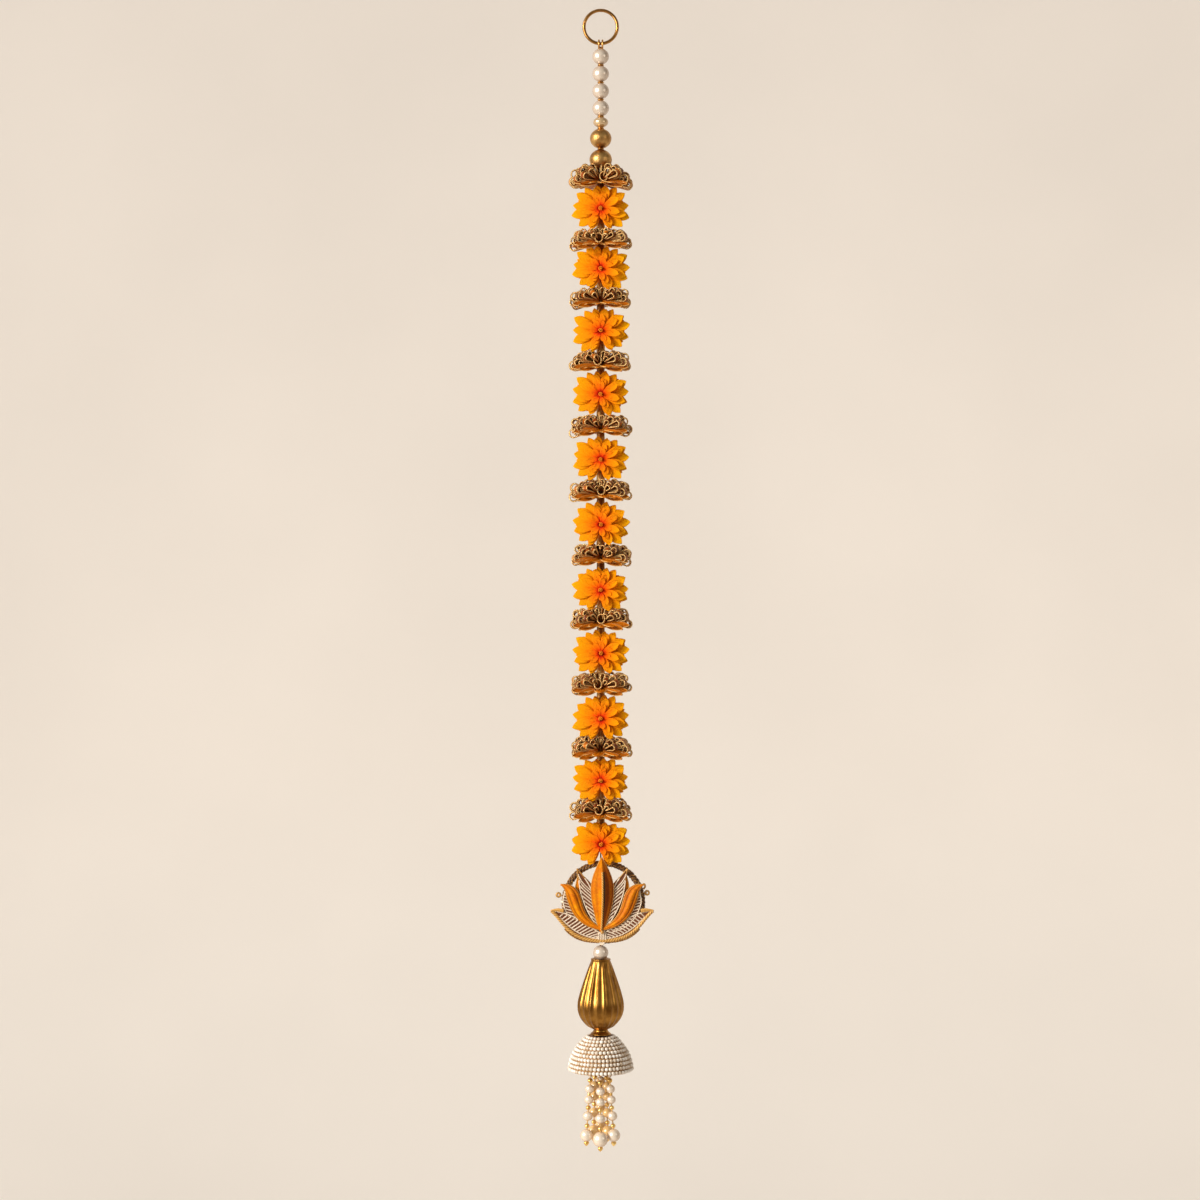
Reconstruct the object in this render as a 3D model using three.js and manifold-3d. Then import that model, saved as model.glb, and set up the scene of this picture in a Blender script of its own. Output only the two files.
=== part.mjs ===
import * as THREE from 'three';
import { mergeVertices } from 'three/addons/utils/BufferGeometryUtils.js';
import Module from 'manifold-3d';

const wasm = await Module();
wasm.setup();

// Millimetres. Z is up, the blooms face -Y, and the origin is where the ring bears on its nail.

// Hanging ring and the wires
const RING_WIRE = 1.3;
const RING_INSIDE = 12;
const RING_CENTRE = -RING_INSIDE;
const RING_FOOT = RING_CENTRE - RING_INSIDE - RING_WIRE;
const WIRE = 0.6;
const LINK_GAP = 0.35;
const EYE_WIDTH = 3.6;
const BORE = 1.05;
const GAP = 0.3;

// Beads at the head of the strand, each a centre height with its two radii
const PEARL_COUNT = 4;
const PEARL_TOP = -35.7;
const PEARL_PITCH = 13.8;
const PEARL = { radius: 6.7, half: 6.35 };
const CHAMPAGNE = { z: -88.3, radius: 6.1, half: 4.3 };
const GOLD_BALLS = [
  { z: -101.3, radius: 8.6, half: 7.9 },
  { z: -118.3, radius: 9.0, half: 8.3 },
];
const SEED = 2.3;

// Flowers down the strand: a gold ribbon flower, a marigold, and so on
const FIRST_FLOWER = -134.4;
const FLOWER_STEPS = [
  24.0, 24.8, 23.2, 24.0, 25.6, 24.8, 25.6, 25.6, 26.4, 25.6, 26.4,
  24.8, 27.2, 24.0, 26.4, 25.6, 26.4, 24.0, 25.6, 24.0, 26.4,
];
const BOSS = { radiusX: 3.6, radiusY: 5.95, half: 5.5, back: -3.4, front: 6.3 };
const HUB_RADIUS = 3.0;

// Marigold
const BLOOM_REACH = { side: 23.2, up: 17.9, power: 2.7 };
const PETAL_SHEET = 0.9;
const PETAL_STRAY = 0.04;
const OUTER_LAYER = {
  side: 7, spread: 142, share: 1, salt: 0, centre: 7.4, slope: 0.03, valley: 0.69, shoulder: 0.82, lift: 1.4,
};
const MIDDLE_LAYER = {
  side: 4, spread: 112, share: 0.76, salt: 100, centre: 9.2, slope: 0.1, valley: 0.6, shoulder: 0.8,
  lift: 1.8,
};
const INNER_LAYER = {
  count: 5, reach: 11, salt: 200, centre: 11, slope: 0.42, valley: 0.5, shoulder: 0.76, lift: 1.2,
};
const NOTCH = { wider: 1.15, share: 0.72 };
const DIMPLE = 2.4;
const ROLL = { radius: 1.9, rise: 2.4 };

// Gold ribbon flower
const LOOP = { hub: 3.5, root: 1.3, tip: 2.6, width: 3.9, ribbon: 0.75, hole: 2.6, end: 1.9 };
const UPPER_LOOPS = { count: 6, z: 2.7, reach: 22.5, slope: 0.24 };
const LOWER_LOOPS = { count: 6, z: -0.3, reach: 24.4, slope: 0.06 };
const SATIN = { count: 6, reach: 23.5, centre: -2.5, slope: -0.22, valley: 0.42, shoulder: 0.72 };
const HUB_TOP = UPPER_LOOPS.z + LOOP.root;

// Lotus pendant
const FRAME = { x: 2.2, z: -712, ring: 31, band: 2.2 };
const FRAME_BEADS = [{ angle: 171, radius: 2 }, { angle: 9, radius: 2 }];
const LOTUS_AXIS = 1.2;
const REAR_DEPTH = -2.6;
const SILVER_DEPTH = -3.9;
const ORANGE_DEPTH = -5.1;
const HOOK_POWER = 6;

// Foot of the strand
const DROP_PEARL = { z: -752.5, radius: 6 };
const DROP = { top: -757.1, bottom: -813.6, rim: 7.4, flutes: 20, depth: 0.07 };
const COLLAR = { top: -813.9, bottom: -818.1, neck: 5.7, foot: 8.2 };
const DOME = { top: -818.4, rim: -846.4, crown: 9.5, mouth: 26, round: 0.72, wall: 1.2, relief: 0.55, rows: 6 };
const KNOB = { z: -823, radius: 3.3, half: 2.1 };
const STRANDS = [
  { name: 'front_centre', top: [-0.4, -5.0], foot: [-0.3, -7.2], end: -900.4, pearl: 6.1 },
  { name: 'front_left', top: [-7.6, -2.0], foot: [-11.4, -2.2], end: -898.1, pearl: 5.1 },
  { name: 'front_right', top: [6.4, -3.6], foot: [10.4, -3.0], end: -898.0, pearl: 5.2 },
  { name: 'back_left', top: [-4.4, 5.2], foot: [-5.6, 6.9], end: -896.6, pearl: 4.8 },
  { name: 'back_centre', top: [0.2, 9.8], foot: [0.0, 14.6], end: -893.4, pearl: 4.3 },
  { name: 'back_right', top: [4.6, 4.8], foot: [5.4, 6.6], end: -897.0, pearl: 4.8 },
];

const MATERIALS = {
  brass: { color: 0xc8963c, roughness: 0.28, metalness: 1 },
  antique_gold: { color: 0xb08a4a, roughness: 0.42, metalness: 0.9 },
  champagne: { color: 0xe6d3ae, roughness: 0.25, metalness: 0.6 },
  pearl: { color: 0xf3ede2, roughness: 0.22, metalness: 0 },
  marigold: { color: 0xff8f00, roughness: 0.7, metalness: 0 },
  gold_ribbon: { color: 0xb9822e, roughness: 0.4, metalness: 0.6 },
  frame_cord: { color: 0x6d4a1c, roughness: 0.55, metalness: 0.4 },
  orange_satin: { color: 0xe87a0c, roughness: 0.5, metalness: 0 },
  silver_thread: { color: 0xcdb9a6, roughness: 0.38, metalness: 0.6 },
  beadwork: { color: 0xefe9de, roughness: 0.35, metalness: 0 },
};

const garland = new THREE.Group();

function addPiece(name, material, geometry, x = 0, y = 0, z = 0) {
  const mesh = new THREE.Mesh(geometry, new THREE.MeshStandardMaterial(MATERIALS[material]));
  mesh.name = name;
  mesh.position.set(x, y, z);
  garland.add(mesh);
}

// Even pseudo-random numbers from 0 to 1, the same for the same pair
function chance(a, b) {
  const wave = Math.sin(a * 12.9898 + b * 78.233) * 43758.5453;
  return wave - Math.floor(wave);
}

function welded(geometry) {
  const bare = geometry.clone();
  bare.deleteAttribute('normal');
  bare.deleteAttribute('uv');
  const shared = mergeVertices(bare, 1e-4);
  const kept = [];
  const index = shared.index.array;
  for (let i = 0; i < index.length; i += 3) {
    const [a, b, c] = [index[i], index[i + 1], index[i + 2]];
    if (a !== b && b !== c && c !== a) {
      kept.push(a, b, c);
    }
  }
  shared.setIndex(kept);
  return shared;
}

function signedVolume(geometry) {
  const position = geometry.attributes.position;
  const index = geometry.index.array;
  const [a, b, c] = [new THREE.Vector3(), new THREE.Vector3(), new THREE.Vector3()];
  let sum = 0;
  for (let i = 0; i < index.length; i += 3) {
    a.fromBufferAttribute(position, index[i]);
    b.fromBufferAttribute(position, index[i + 1]);
    c.fromBufferAttribute(position, index[i + 2]);
    sum += a.dot(b.cross(c)) / 6;
  }
  return sum;
}

function facingOut(geometry) {
  const closed = welded(geometry);
  if (signedVolume(closed) < 0) {
    closed.setIndex([...closed.index.array].reverse());
  }
  return closed;
}

function toSolid(geometry) {
  const closed = facingOut(geometry);
  return new wasm.Manifold(new wasm.Mesh({
    numProp: 3,
    vertProperties: new Float32Array(closed.attributes.position.array),
    triVerts: new Uint32Array(closed.index.array),
  }));
}

function toGeometry(solid) {
  const mesh = solid.getMesh();
  const geometry = new THREE.BufferGeometry();
  geometry.setAttribute('position', new THREE.BufferAttribute(new Float32Array(mesh.vertProperties), 3));
  geometry.setIndex([...mesh.triVerts]);
  return geometry;
}

function fused(geometries) {
  return geometries.map(toSolid).reduce((whole, piece) => whole.add(piece));
}

function bored(solid, top, bottom) {
  const tool = new THREE.CylinderGeometry(BORE, BORE, top - bottom, 6);
  tool.rotateX(Math.PI / 2);
  tool.translate(0, 0, (top + bottom) / 2);
  return solid.subtract(toSolid(tool));
}

// A turned shape about Z from [radius, height] pairs
function turned(profile, sides) {
  const points = profile.map(([radius, height]) => new THREE.Vector2(radius, height));
  return new THREE.LatheGeometry(points, sides).rotateX(Math.PI / 2);
}

function meshOf(points, faces) {
  const geometry = new THREE.BufferGeometry();
  geometry.setAttribute('position', new THREE.Float32BufferAttribute(points.flat(), 3));
  geometry.setIndex(faces.flat());
  return geometry;
}

// Round bead with a straight bore, centred on its own middle
function beadGeometry({ radius, half }, sides, bands) {
  const profile = [];
  for (let band = 0; band <= bands; band += 1) {
    const turn = (band / bands - 0.5) * Math.PI;
    profile.push([band % bands === 0 ? 0 : Math.cos(turn) * radius, Math.sin(turn) * half]);
  }
  return toGeometry(bored(toSolid(turned(profile, sides)), half + 1, -half - 1));
}

function addHangingRing() {
  const ring = new THREE.TorusGeometry(RING_INSIDE + RING_WIRE, RING_WIRE, 6, 24).rotateX(Math.PI / 2);
  addPiece('hanging_ring', 'brass', facingOut(ring), 0, 0, RING_CENTRE);
}

// A wire eye standing across the ring or frame that it links
function wireEye(inside, wire, width, z) {
  const eye = new THREE.TorusGeometry(inside + wire, wire, 5, 10).rotateY(Math.PI / 2);
  eye.scale(width / (2 * wire), 1, 1);
  return eye.translate(0, 0, z);
}

function seedHeights() {
  const pearls = Array.from({ length: PEARL_COUNT }, (_, i) => PEARL_TOP - i * PEARL_PITCH);
  const beads = [
    ...pearls.map((z) => ({ z, half: PEARL.half })),
    CHAMPAGNE,
    ...GOLD_BALLS,
  ];
  return beads.slice(1).map((bead, i) => (bead.z + bead.half + beads[i].z - beads[i].half) / 2);
}

function frameBandHeight(side) {
  return FRAME.z + side * Math.sqrt(FRAME.ring ** 2 - FRAME.x ** 2);
}

// The wire through the strand, with the gold seed beads crimped on it and an eye at each end
function addStringingWire() {
  const top = RING_FOOT - RING_WIRE - LINK_GAP - WIRE;
  const foot = frameBandHeight(1) + FRAME.band + LINK_GAP + WIRE;
  const profile = [[0, top], [WIRE, top]];
  seedHeights().forEach((z) => {
    profile.push([WIRE, z + 0.35], [SEED, z], [WIRE, z - 0.35]);
  });
  profile.push([WIRE, foot], [0, foot]);
  const wire = fused([
    turned(profile, 6),
    wireEye(RING_WIRE + LINK_GAP, WIRE, EYE_WIDTH, RING_FOOT),
    wireEye(FRAME.band + LINK_GAP, WIRE, 2 * WIRE, frameBandHeight(1)),
  ]);
  addPiece('stringing_wire', 'brass', toGeometry(wire));
}

function addHeadBeads() {
  for (let i = 0; i < PEARL_COUNT; i += 1) {
    addPiece(`pearl_${i + 1}`, 'pearl', beadGeometry(PEARL, 8, 5), 0, 0, PEARL_TOP - i * PEARL_PITCH);
  }
  addPiece('champagne_bead', 'champagne', beadGeometry(CHAMPAGNE, 10, 5), 0, 0, CHAMPAGNE.z);
  GOLD_BALLS.forEach((ball, i) => {
    addPiece(`gold_ball_${i + 1}`, 'antique_gold', beadGeometry(ball, 10, 6), 0, 0, ball.z);
  });
}

// A skin is built upwards from level rings of points, each listed counter-clockwise from above
function newSkin() {
  return { points: [], faces: [] };
}

function addRing(skin, ring) {
  const first = skin.points.length;
  skin.points.push(...ring);
  return ring.map((_, i) => first + i);
}

function ringOf(count, radiusX, radiusY, z, phase = 0) {
  return Array.from({ length: count }, (_, i) => {
    const angle = phase + (i * 2 * Math.PI) / count;
    return [Math.cos(angle) * radiusX, Math.sin(angle) * radiusY, z];
  });
}

function turnBetween(from, to) {
  const turn = (to - from) % (2 * Math.PI);
  return turn < 0 ? turn + 2 * Math.PI : turn;
}

// Joins a ring to the ring above it, whatever their counts, by walking round both at once
function addStrip(skin, lower, upper) {
  const angleOf = (index) => Math.atan2(skin.points[index][1], skin.points[index][0]);
  const start = angleOf(lower[0]);
  const nearness = (index) => Math.cos(angleOf(index) - start);
  const nearest = upper.reduce((best, index) => (nearness(index) > nearness(best) ? index : best));
  const shift = upper.indexOf(nearest);
  const above = [...upper.slice(shift), ...upper.slice(0, shift)];
  const lead = Math.sin(angleOf(above[0]) - start);
  const turnOf = (ring, i) => {
    return i === ring.length ? 2 * Math.PI : turnBetween(angleOf(ring[0]), angleOf(ring[i]));
  };
  let [i, j] = [0, 0];
  while (i < lower.length || j < above.length) {
    const [a, b] = [lower[i % lower.length], above[j % above.length]];
    const lowerNext = i < lower.length ? turnOf(lower, i + 1) : Infinity;
    const upperNext = j < above.length ? turnOf(above, j + 1) + lead : Infinity;
    if (lowerNext < upperNext) {
      skin.faces.push([a, lower[(i + 1) % lower.length], b]);
      i += 1;
    } else {
      skin.faces.push([a, above[(j + 1) % above.length], b]);
      j += 1;
    }
  }
}

function addCap(skin, ring, facesUp) {
  for (let i = 1; i < ring.length - 1; i += 1) {
    skin.faces.push(facesUp ? [ring[0], ring[i], ring[i + 1]] : [ring[0], ring[i + 1], ring[i]]);
  }
}

// One layer of petals of a single thin sheet; its valleys are the rings that join it to the rest
function addPetalLayer(skin, petals, { valley, shoulder }, heightAt) {
  const outline = [];
  const even = (2 * Math.PI) / petals.length;
  const place = (angle, reach, petal) => {
    const [x, y] = [Math.cos(angle) * reach, Math.sin(angle) * reach];
    outline.push([x, y, heightAt(x, y, petal)]);
  };
  petals.forEach((petal, i) => {
    const before = petals.at(i - 1);
    const turn = turnBetween(before.angle, petal.angle);
    const cut = turn > NOTCH.wider * even ? valley * NOTCH.share : valley;
    place(petal.angle - turn / 2, Math.min(petal.reach, before.reach) * cut, null);
    place(petal.angle - petal.halfAngle, petal.reach * shoulder, petal);
    place(petal.angle, petal.reach, petal);
    place(petal.angle + petal.halfAngle, petal.reach * shoulder, petal);
  });
  const top = addRing(skin, outline);
  const back = addRing(skin, outline.map(([x, y, z]) => [x, y, z - PETAL_SHEET]));
  const count = outline.length;
  const bothFaces = (a, b, c) => skin.faces.push([top[a], top[b], top[c]], [back[a], back[c], back[b]]);
  for (let v = 0; v < count; v += 4) {
    const next = (v + 4) % count;
    bothFaces(v, v + 1, v + 2);
    bothFaces(v + 2, v + 3, next);
    bothFaces(v, v + 2, next);
  }
  for (let p = 0; p < count; p += 1) {
    const q = (p + 1) % count;
    skin.faces.push([back[p], back[q], top[q]], [back[p], top[q], top[p]]);
  }
  const valleys = (ring) => ring.filter((_, i) => i % 4 === 0);
  return { below: valleys(back), above: valleys(top) };
}

// Reach of the bloom in a direction: wide to the sides and the corners, shorter up and down
function bloomReach(angle) {
  const { side, up, power } = BLOOM_REACH;
  const across = Math.abs(Math.cos(angle) / side) ** power;
  const upward = Math.abs(Math.sin(angle) / up) ** power;
  return (across + upward) ** (-1 / power);
}

// Petals fanned to both sides, which leaves a notch at the top and at the bottom of the bloom
function fannedPetals(seed, { side, spread, share, salt, lift }) {
  const step = THREE.MathUtils.degToRad(spread) / (side - 1);
  return Array.from({ length: 2 * side }, (_, i) => {
    const place = (i % side) - (side - 1) / 2;
    const angle = (i < side ? 0 : Math.PI) + place * step + (chance(seed, salt + i) - 0.5) * PETAL_STRAY;
    return {
      angle,
      reach: bloomReach(angle) * share * (0.93 + 0.07 * chance(seed, salt + i + 20)),
      halfAngle: step * 0.44,
      lift: (chance(seed, salt + i + 40) - 0.5) * lift,
    };
  });
}

function ringPetals(seed, { count, reach, salt, lift }) {
  const step = (2 * Math.PI) / count;
  const phase = (chance(seed, salt) - 0.5) * step;
  return Array.from({ length: count }, (_, i) => ({
    angle: (i + 0.5) * step + phase + (chance(seed, salt + i) - 0.5) * 0.14,
    reach: reach * (0.92 + 0.1 * chance(seed, salt + 20 + i)),
    halfAngle: step * 0.4,
    lift: (chance(seed, salt + 40 + i) - 0.3) * lift,
  }));
}

function addBloomLayer(skin, petals, layer) {
  const heightAt = (x, y, petal) => {
    const reach = Math.hypot(x, y);
    const lift = petal ? petal.lift * (reach / petal.reach) : 0;
    return layer.centre + layer.slope * reach + lift;
  };
  return addPetalLayer(skin, petals, layer, heightAt);
}

// The bloom is built lying on its back, boss first, then stood up to face -Y
function bloomGeometry(seed) {
  const skin = newSkin();
  const bossBack = addRing(skin, ringOf(8, BOSS.radiusX, BOSS.radiusY, BOSS.back, Math.PI / 8));
  const bossFront = addRing(skin, ringOf(8, BOSS.radiusX, BOSS.radiusY, BOSS.front, Math.PI / 8));
  const outer = addBloomLayer(skin, fannedPetals(seed, OUTER_LAYER), OUTER_LAYER);
  const middle = addBloomLayer(skin, fannedPetals(seed, MIDDLE_LAYER), MIDDLE_LAYER);
  const inner = addBloomLayer(skin, ringPetals(seed, INNER_LAYER), INNER_LAYER);
  const dimple = addRing(skin, ringOf(INNER_LAYER.count, DIMPLE, DIMPLE, INNER_LAYER.centre));
  const tip = INNER_LAYER.centre + ROLL.rise;
  const roll = addRing(skin, ringOf(INNER_LAYER.count, ROLL.radius, ROLL.radius, tip));
  addCap(skin, bossBack, false);
  addStrip(skin, bossBack, bossFront);
  addStrip(skin, bossFront, outer.below);
  addStrip(skin, outer.above, middle.below);
  addStrip(skin, middle.above, inner.below);
  addStrip(skin, inner.above, dimple);
  addStrip(skin, dimple, roll);
  addCap(skin, roll, true);
  const bloom = meshOf(skin.points, skin.faces).rotateX(Math.PI / 2);
  return toGeometry(bored(toSolid(bloom), BOSS.half + 1, -BOSS.half - 1));
}

// Side of a loop: bottom root, bottom tip, top tip, top root round a three-cornered hole
const LOOP_SIDE = [[0, 1, 5], [0, 5, 4], [1, 2, 6], [1, 6, 5], [2, 3, 4], [2, 4, 6], [3, 0, 4]];

// A ring of pinched ribbon loops that stand on the sides of one small prism
function addLoopTier(skin, { count, z, reach, slope }, phase) {
  const step = (2 * Math.PI) / count;
  const below = addRing(skin, ringOf(count, LOOP.hub, LOOP.hub, z - LOOP.root, phase - step / 2));
  const above = addRing(skin, ringOf(count, LOOP.hub, LOOP.hub, z + LOOP.root, phase - step / 2));
  for (let i = 0; i < count; i += 1) {
    const angle = phase + i * step;
    const next = (i + 1) % count;
    addLoop(skin, [[below[i], above[i]], [below[next], above[next]]], angle, { z, reach, slope });
  }
  return { below, above };
}

function addLoop(skin, roots, angle, { z, reach, slope }) {
  const tipZ = z + slope * reach;
  const inTip = reach - LOOP.end;
  const section = [
    [reach - 0.8, tipZ - LOOP.tip, 1],
    [reach, tipZ + LOOP.tip * 0.7, 1],
    [LOOP.hub + LOOP.hole, z + slope * (LOOP.hub + LOOP.hole), 0.35],
    [inTip, tipZ - LOOP.tip + LOOP.ribbon, 0.9],
    [inTip, tipZ + LOOP.tip * 0.7 - LOOP.ribbon, 0.9],
  ];
  const [right, left] = roots.map(([bottom, top], k) => {
    const across = (k === 0 ? -1 : 1) * LOOP.width;
    const side = addRing(skin, section.map(([radius, height, spread]) => [
      Math.cos(angle) * radius - Math.sin(angle) * across * spread,
      Math.sin(angle) * radius + Math.cos(angle) * across * spread,
      height,
    ]));
    return [bottom, side[0], side[1], top, side[2], side[3], side[4]];
  });
  LOOP_SIDE.forEach(([a, b, c]) => {
    skin.faces.push([right[a], right[b], right[c]], [left[a], left[c], left[b]]);
  });
  for (const [a, b] of [[0, 1], [1, 2], [2, 3], [5, 4], [6, 5], [4, 6]]) {
    skin.faces.push([right[a], left[a], left[b]], [right[a], left[b], right[b]]);
  }
}

function addSatinLayer(skin, phase) {
  const step = (2 * Math.PI) / SATIN.count;
  const petals = Array.from({ length: SATIN.count }, (_, i) => ({
    angle: phase + i * step,
    reach: SATIN.reach,
    halfAngle: step * 0.33,
  }));
  return addPetalLayer(skin, petals, SATIN, (x, y) => SATIN.centre + SATIN.slope * Math.hypot(x, y));
}

// The ribbon flower sits on a long hub bead that reaches down to the next bloom
function ribbonFlowerGeometry(seed, tail) {
  const phase = chance(seed, 7) * Math.PI;
  const skin = newSkin();
  const foot = addRing(skin, ringOf(6, 1.9, 1.9, -tail, phase));
  const swell = addRing(skin, ringOf(6, HUB_RADIUS, HUB_RADIUS, 2.6 - tail, phase));
  const throat = addRing(skin, ringOf(6, HUB_RADIUS, HUB_RADIUS, -4.4, phase));
  const satin = addSatinLayer(skin, phase + 0.2);
  const lower = addLoopTier(skin, LOWER_LOOPS, phase + 0.5);
  const upper = addLoopTier(skin, UPPER_LOOPS, phase);
  addCap(skin, foot, false);
  addStrip(skin, foot, swell);
  addStrip(skin, swell, throat);
  addStrip(skin, throat, satin.below);
  addStrip(skin, satin.above, lower.below);
  addStrip(skin, lower.above, upper.below);
  addCap(skin, upper.above, true);
  const flower = meshOf(skin.points, skin.faces);
  return toGeometry(bored(toSolid(flower), HUB_TOP + 1, -tail - 1));
}

// A long bead between a bloom's boss and the next ribbon flower's hub
function longBeadGeometry(length) {
  const half = length / 2;
  const profile = [[0, -half], [2.0, -half], [3.3, -half * 0.4], [3.3, half * 0.4], [2.0, half], [0, half]];
  return toGeometry(bored(toSolid(turned(profile, 6)), half + 1, -half - 1));
}

function addFlowers() {
  let z = FIRST_FLOWER;
  for (let i = 0; i < FLOWER_STEPS.length; i += 2) {
    const number = String(i / 2 + 1).padStart(2, '0');
    const down = FLOWER_STEPS[i];
    const tail = down - BOSS.half - GAP;
    addPiece(`ribbon_flower_${number}`, 'gold_ribbon', ribbonFlowerGeometry(i / 2 + 1, tail), 0, 0, z);
    z -= down;
    addPiece(`marigold_${number}`, 'marigold', bloomGeometry(i / 2 + 1), 0, 0, z);
    const next = FLOWER_STEPS[i + 1];
    if (next) {
      const length = next - BOSS.half - HUB_TOP - 2 * GAP;
      const middle = z - BOSS.half - GAP - length / 2;
      addPiece(`gold_bead_${number}`, 'antique_gold', longBeadGeometry(length), 0, 0, middle);
      z -= next;
    }
  }
}

// The rib of a petal from base to tip; the hook bends its last part away from the curve
function petalRib({ base, bend, tip, hook = [0, 0] }) {
  const curve = new THREE.QuadraticBezierCurve(
    new THREE.Vector2(...base), new THREE.Vector2(...bend), new THREE.Vector2(...tip));
  const away = new THREE.Vector2(...hook);
  return {
    pointAt: (t) => curve.getPoint(t).addScaledVector(away, t ** HOOK_POWER),
    directionAt: (t) => {
      const speed = curve.v1.clone().sub(curve.v0).multiplyScalar(2 * (1 - t));
      speed.addScaledVector(curve.v2.clone().sub(curve.v1), 2 * t);
      return speed.addScaledVector(away, HOOK_POWER * t ** (HOOK_POWER - 1)).normalize();
    },
  };
}

// A leaf along its rib: flat back, blunt edges and a raised keel, its front towards -Y
function keeledPetal({ width, fullest = 0.5, depth, sheet = 1, keel, steps = 6, ...shape }) {
  const rib = petalRib(shape);
  const points = [];
  const faces = [];
  for (let i = 0; i <= steps; i += 1) {
    const t = i / steps;
    const middle = rib.pointAt(t);
    const along = rib.directionAt(t);
    const swell = petalSwell(t, fullest);
    const half = Math.max(width * swell, 0.4);
    const ridge = depth - sheet - keel * swell ** 2;
    const [ax, az] = [-along.y * half, along.x * half];
    points.push(
      [middle.x + ax, depth, middle.y + az],
      [middle.x - ax, depth, middle.y - az],
      [middle.x - ax, depth - sheet, middle.y - az],
      [middle.x, ridge, middle.y],
      [middle.x + ax, depth - sheet, middle.y + az],
    );
  }
  for (let i = 0; i < steps; i += 1) {
    for (let k = 0; k < 5; k += 1) {
      const [a, b] = [5 * i + k, 5 * i + ((k + 1) % 5)];
      faces.push([a, b, b + 5], [a, b + 5, a + 5]);
    }
  }
  const last = 5 * steps;
  faces.push([0, 2, 1], [0, 4, 2], [2, 4, 3]);
  faces.push([last, last + 1, last + 2], [last, last + 2, last + 4], [last + 2, last + 3, last + 4]);
  return meshOf(points, faces);
}

// Half width of a petal along its rib, as a share: narrow root, full belly, pointed tip
function petalSwell(t, fullest) {
  const skew = t < fullest ? t / fullest : 1 + (t - fullest) / (1 - fullest);
  return 0.16 * (1 - t) + Math.sin((skew * Math.PI) / 2) * (1 - 0.16 * (1 - t));
}

function addLotusFrame() {
  const ring = new THREE.TorusGeometry(FRAME.ring, FRAME.band, 6, 26).rotateX(Math.PI / 2);
  const beads = FRAME_BEADS.map(({ angle, radius }) => {
    const turn = THREE.MathUtils.degToRad(angle);
    const out = FRAME.ring + FRAME.band + radius * 0.4;
    return new THREE.IcosahedronGeometry(radius, 0).translate(Math.cos(turn) * out, 0, Math.sin(turn) * out);
  });
  addPiece('lotus_frame', 'frame_cord', toGeometry(fused([ring, ...beads])), FRAME.x, 0, FRAME.z);
}

function mirroredPetals(shape) {
  const flip = ([x, z]) => [2 * LOTUS_AXIS - x, z];
  const other = { ...shape, base: flip(shape.base), bend: flip(shape.bend), tip: flip(shape.tip) };
  if (shape.hook) {
    other.hook = [-shape.hook[0], shape.hook[1]];
  }
  return [keeledPetal(shape), keeledPetal(other)];
}

function addLotusPetals() {
  const rear = mirroredPetals({
    base: [0.6, -733], bend: [-10.5, -714], tip: [-17.2, -688], width: 7.2, fullest: 0.68,
    depth: REAR_DEPTH, sheet: 1, keel: 0,
  });
  const silver = [
    ...mirroredPetals({
      base: [0.2, -735], bend: [-11.1, -708], tip: [-15, -688], hook: [-4, 3.2], width: 4.7,
      fullest: 0.56, depth: SILVER_DEPTH, sheet: 0.9, keel: 0,
    }),
    ...mirroredPetals({
      base: [6.5, -741.5], bend: [-20.5, -733.5], tip: [-39.4, -718.4], width: 6.6, fullest: 0.5,
      depth: SILVER_DEPTH, sheet: 0.9, keel: 0,
    }),
    keeledPetal({
      base: [LOTUS_AXIS, -732], bend: [LOTUS_AXIS, -739], tip: [LOTUS_AXIS, -746.2], width: 3.4, fullest: 0.6,
      depth: SILVER_DEPTH, sheet: 0.9, keel: 0, steps: 3,
    }),
  ];
  const orange = [
    keeledPetal({
      base: [0.4, -735], bend: [2.0, -704], tip: [0.6, -675.2], width: 8.9, fullest: 0.55,
      depth: ORANGE_DEPTH, sheet: 1, keel: 3.2, steps: 8,
    }),
    ...mirroredPetals({
      base: [1.2, -733.1], bend: [-28.7, -723.5], tip: [-15.5, -688.4], hook: [-16.6, -9], width: 5.2,
      fullest: 0.72, depth: ORANGE_DEPTH, sheet: 1, keel: 1.6, steps: 8,
    }),
  ];
  addPiece('lotus_rear_petals', 'orange_satin', toGeometry(fused(rear)));
  addPiece('lotus_silver_petals', 'silver_thread', toGeometry(fused(silver)));
  addPiece('lotus_orange_petals', 'orange_satin', toGeometry(fused(orange)));
}

// The wire below the pendant, from its eye on the frame to the knob that carries the tassel
function addDropWire() {
  const band = frameBandHeight(-1);
  const top = band - FRAME.band - LINK_GAP - WIRE;
  const wire = turned([[0, top], [WIRE, top], [WIRE, KNOB.z + KNOB.half], [KNOB.radius, KNOB.z],
    [KNOB.radius, KNOB.z - KNOB.half], [0, KNOB.z - KNOB.half]], 6);
  const eye = wireEye(FRAME.band + LINK_GAP, WIRE * 0.8, 2 * WIRE, band);
  addPiece('drop_wire', 'brass', toGeometry(fused([wire, eye])));
}

function addDropPearl() {
  const size = { radius: DROP_PEARL.radius, half: DROP_PEARL.radius };
  addPiece('drop_pearl', 'pearl', beadGeometry(size, 8, 5), 0, 0, DROP_PEARL.z);
}

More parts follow.
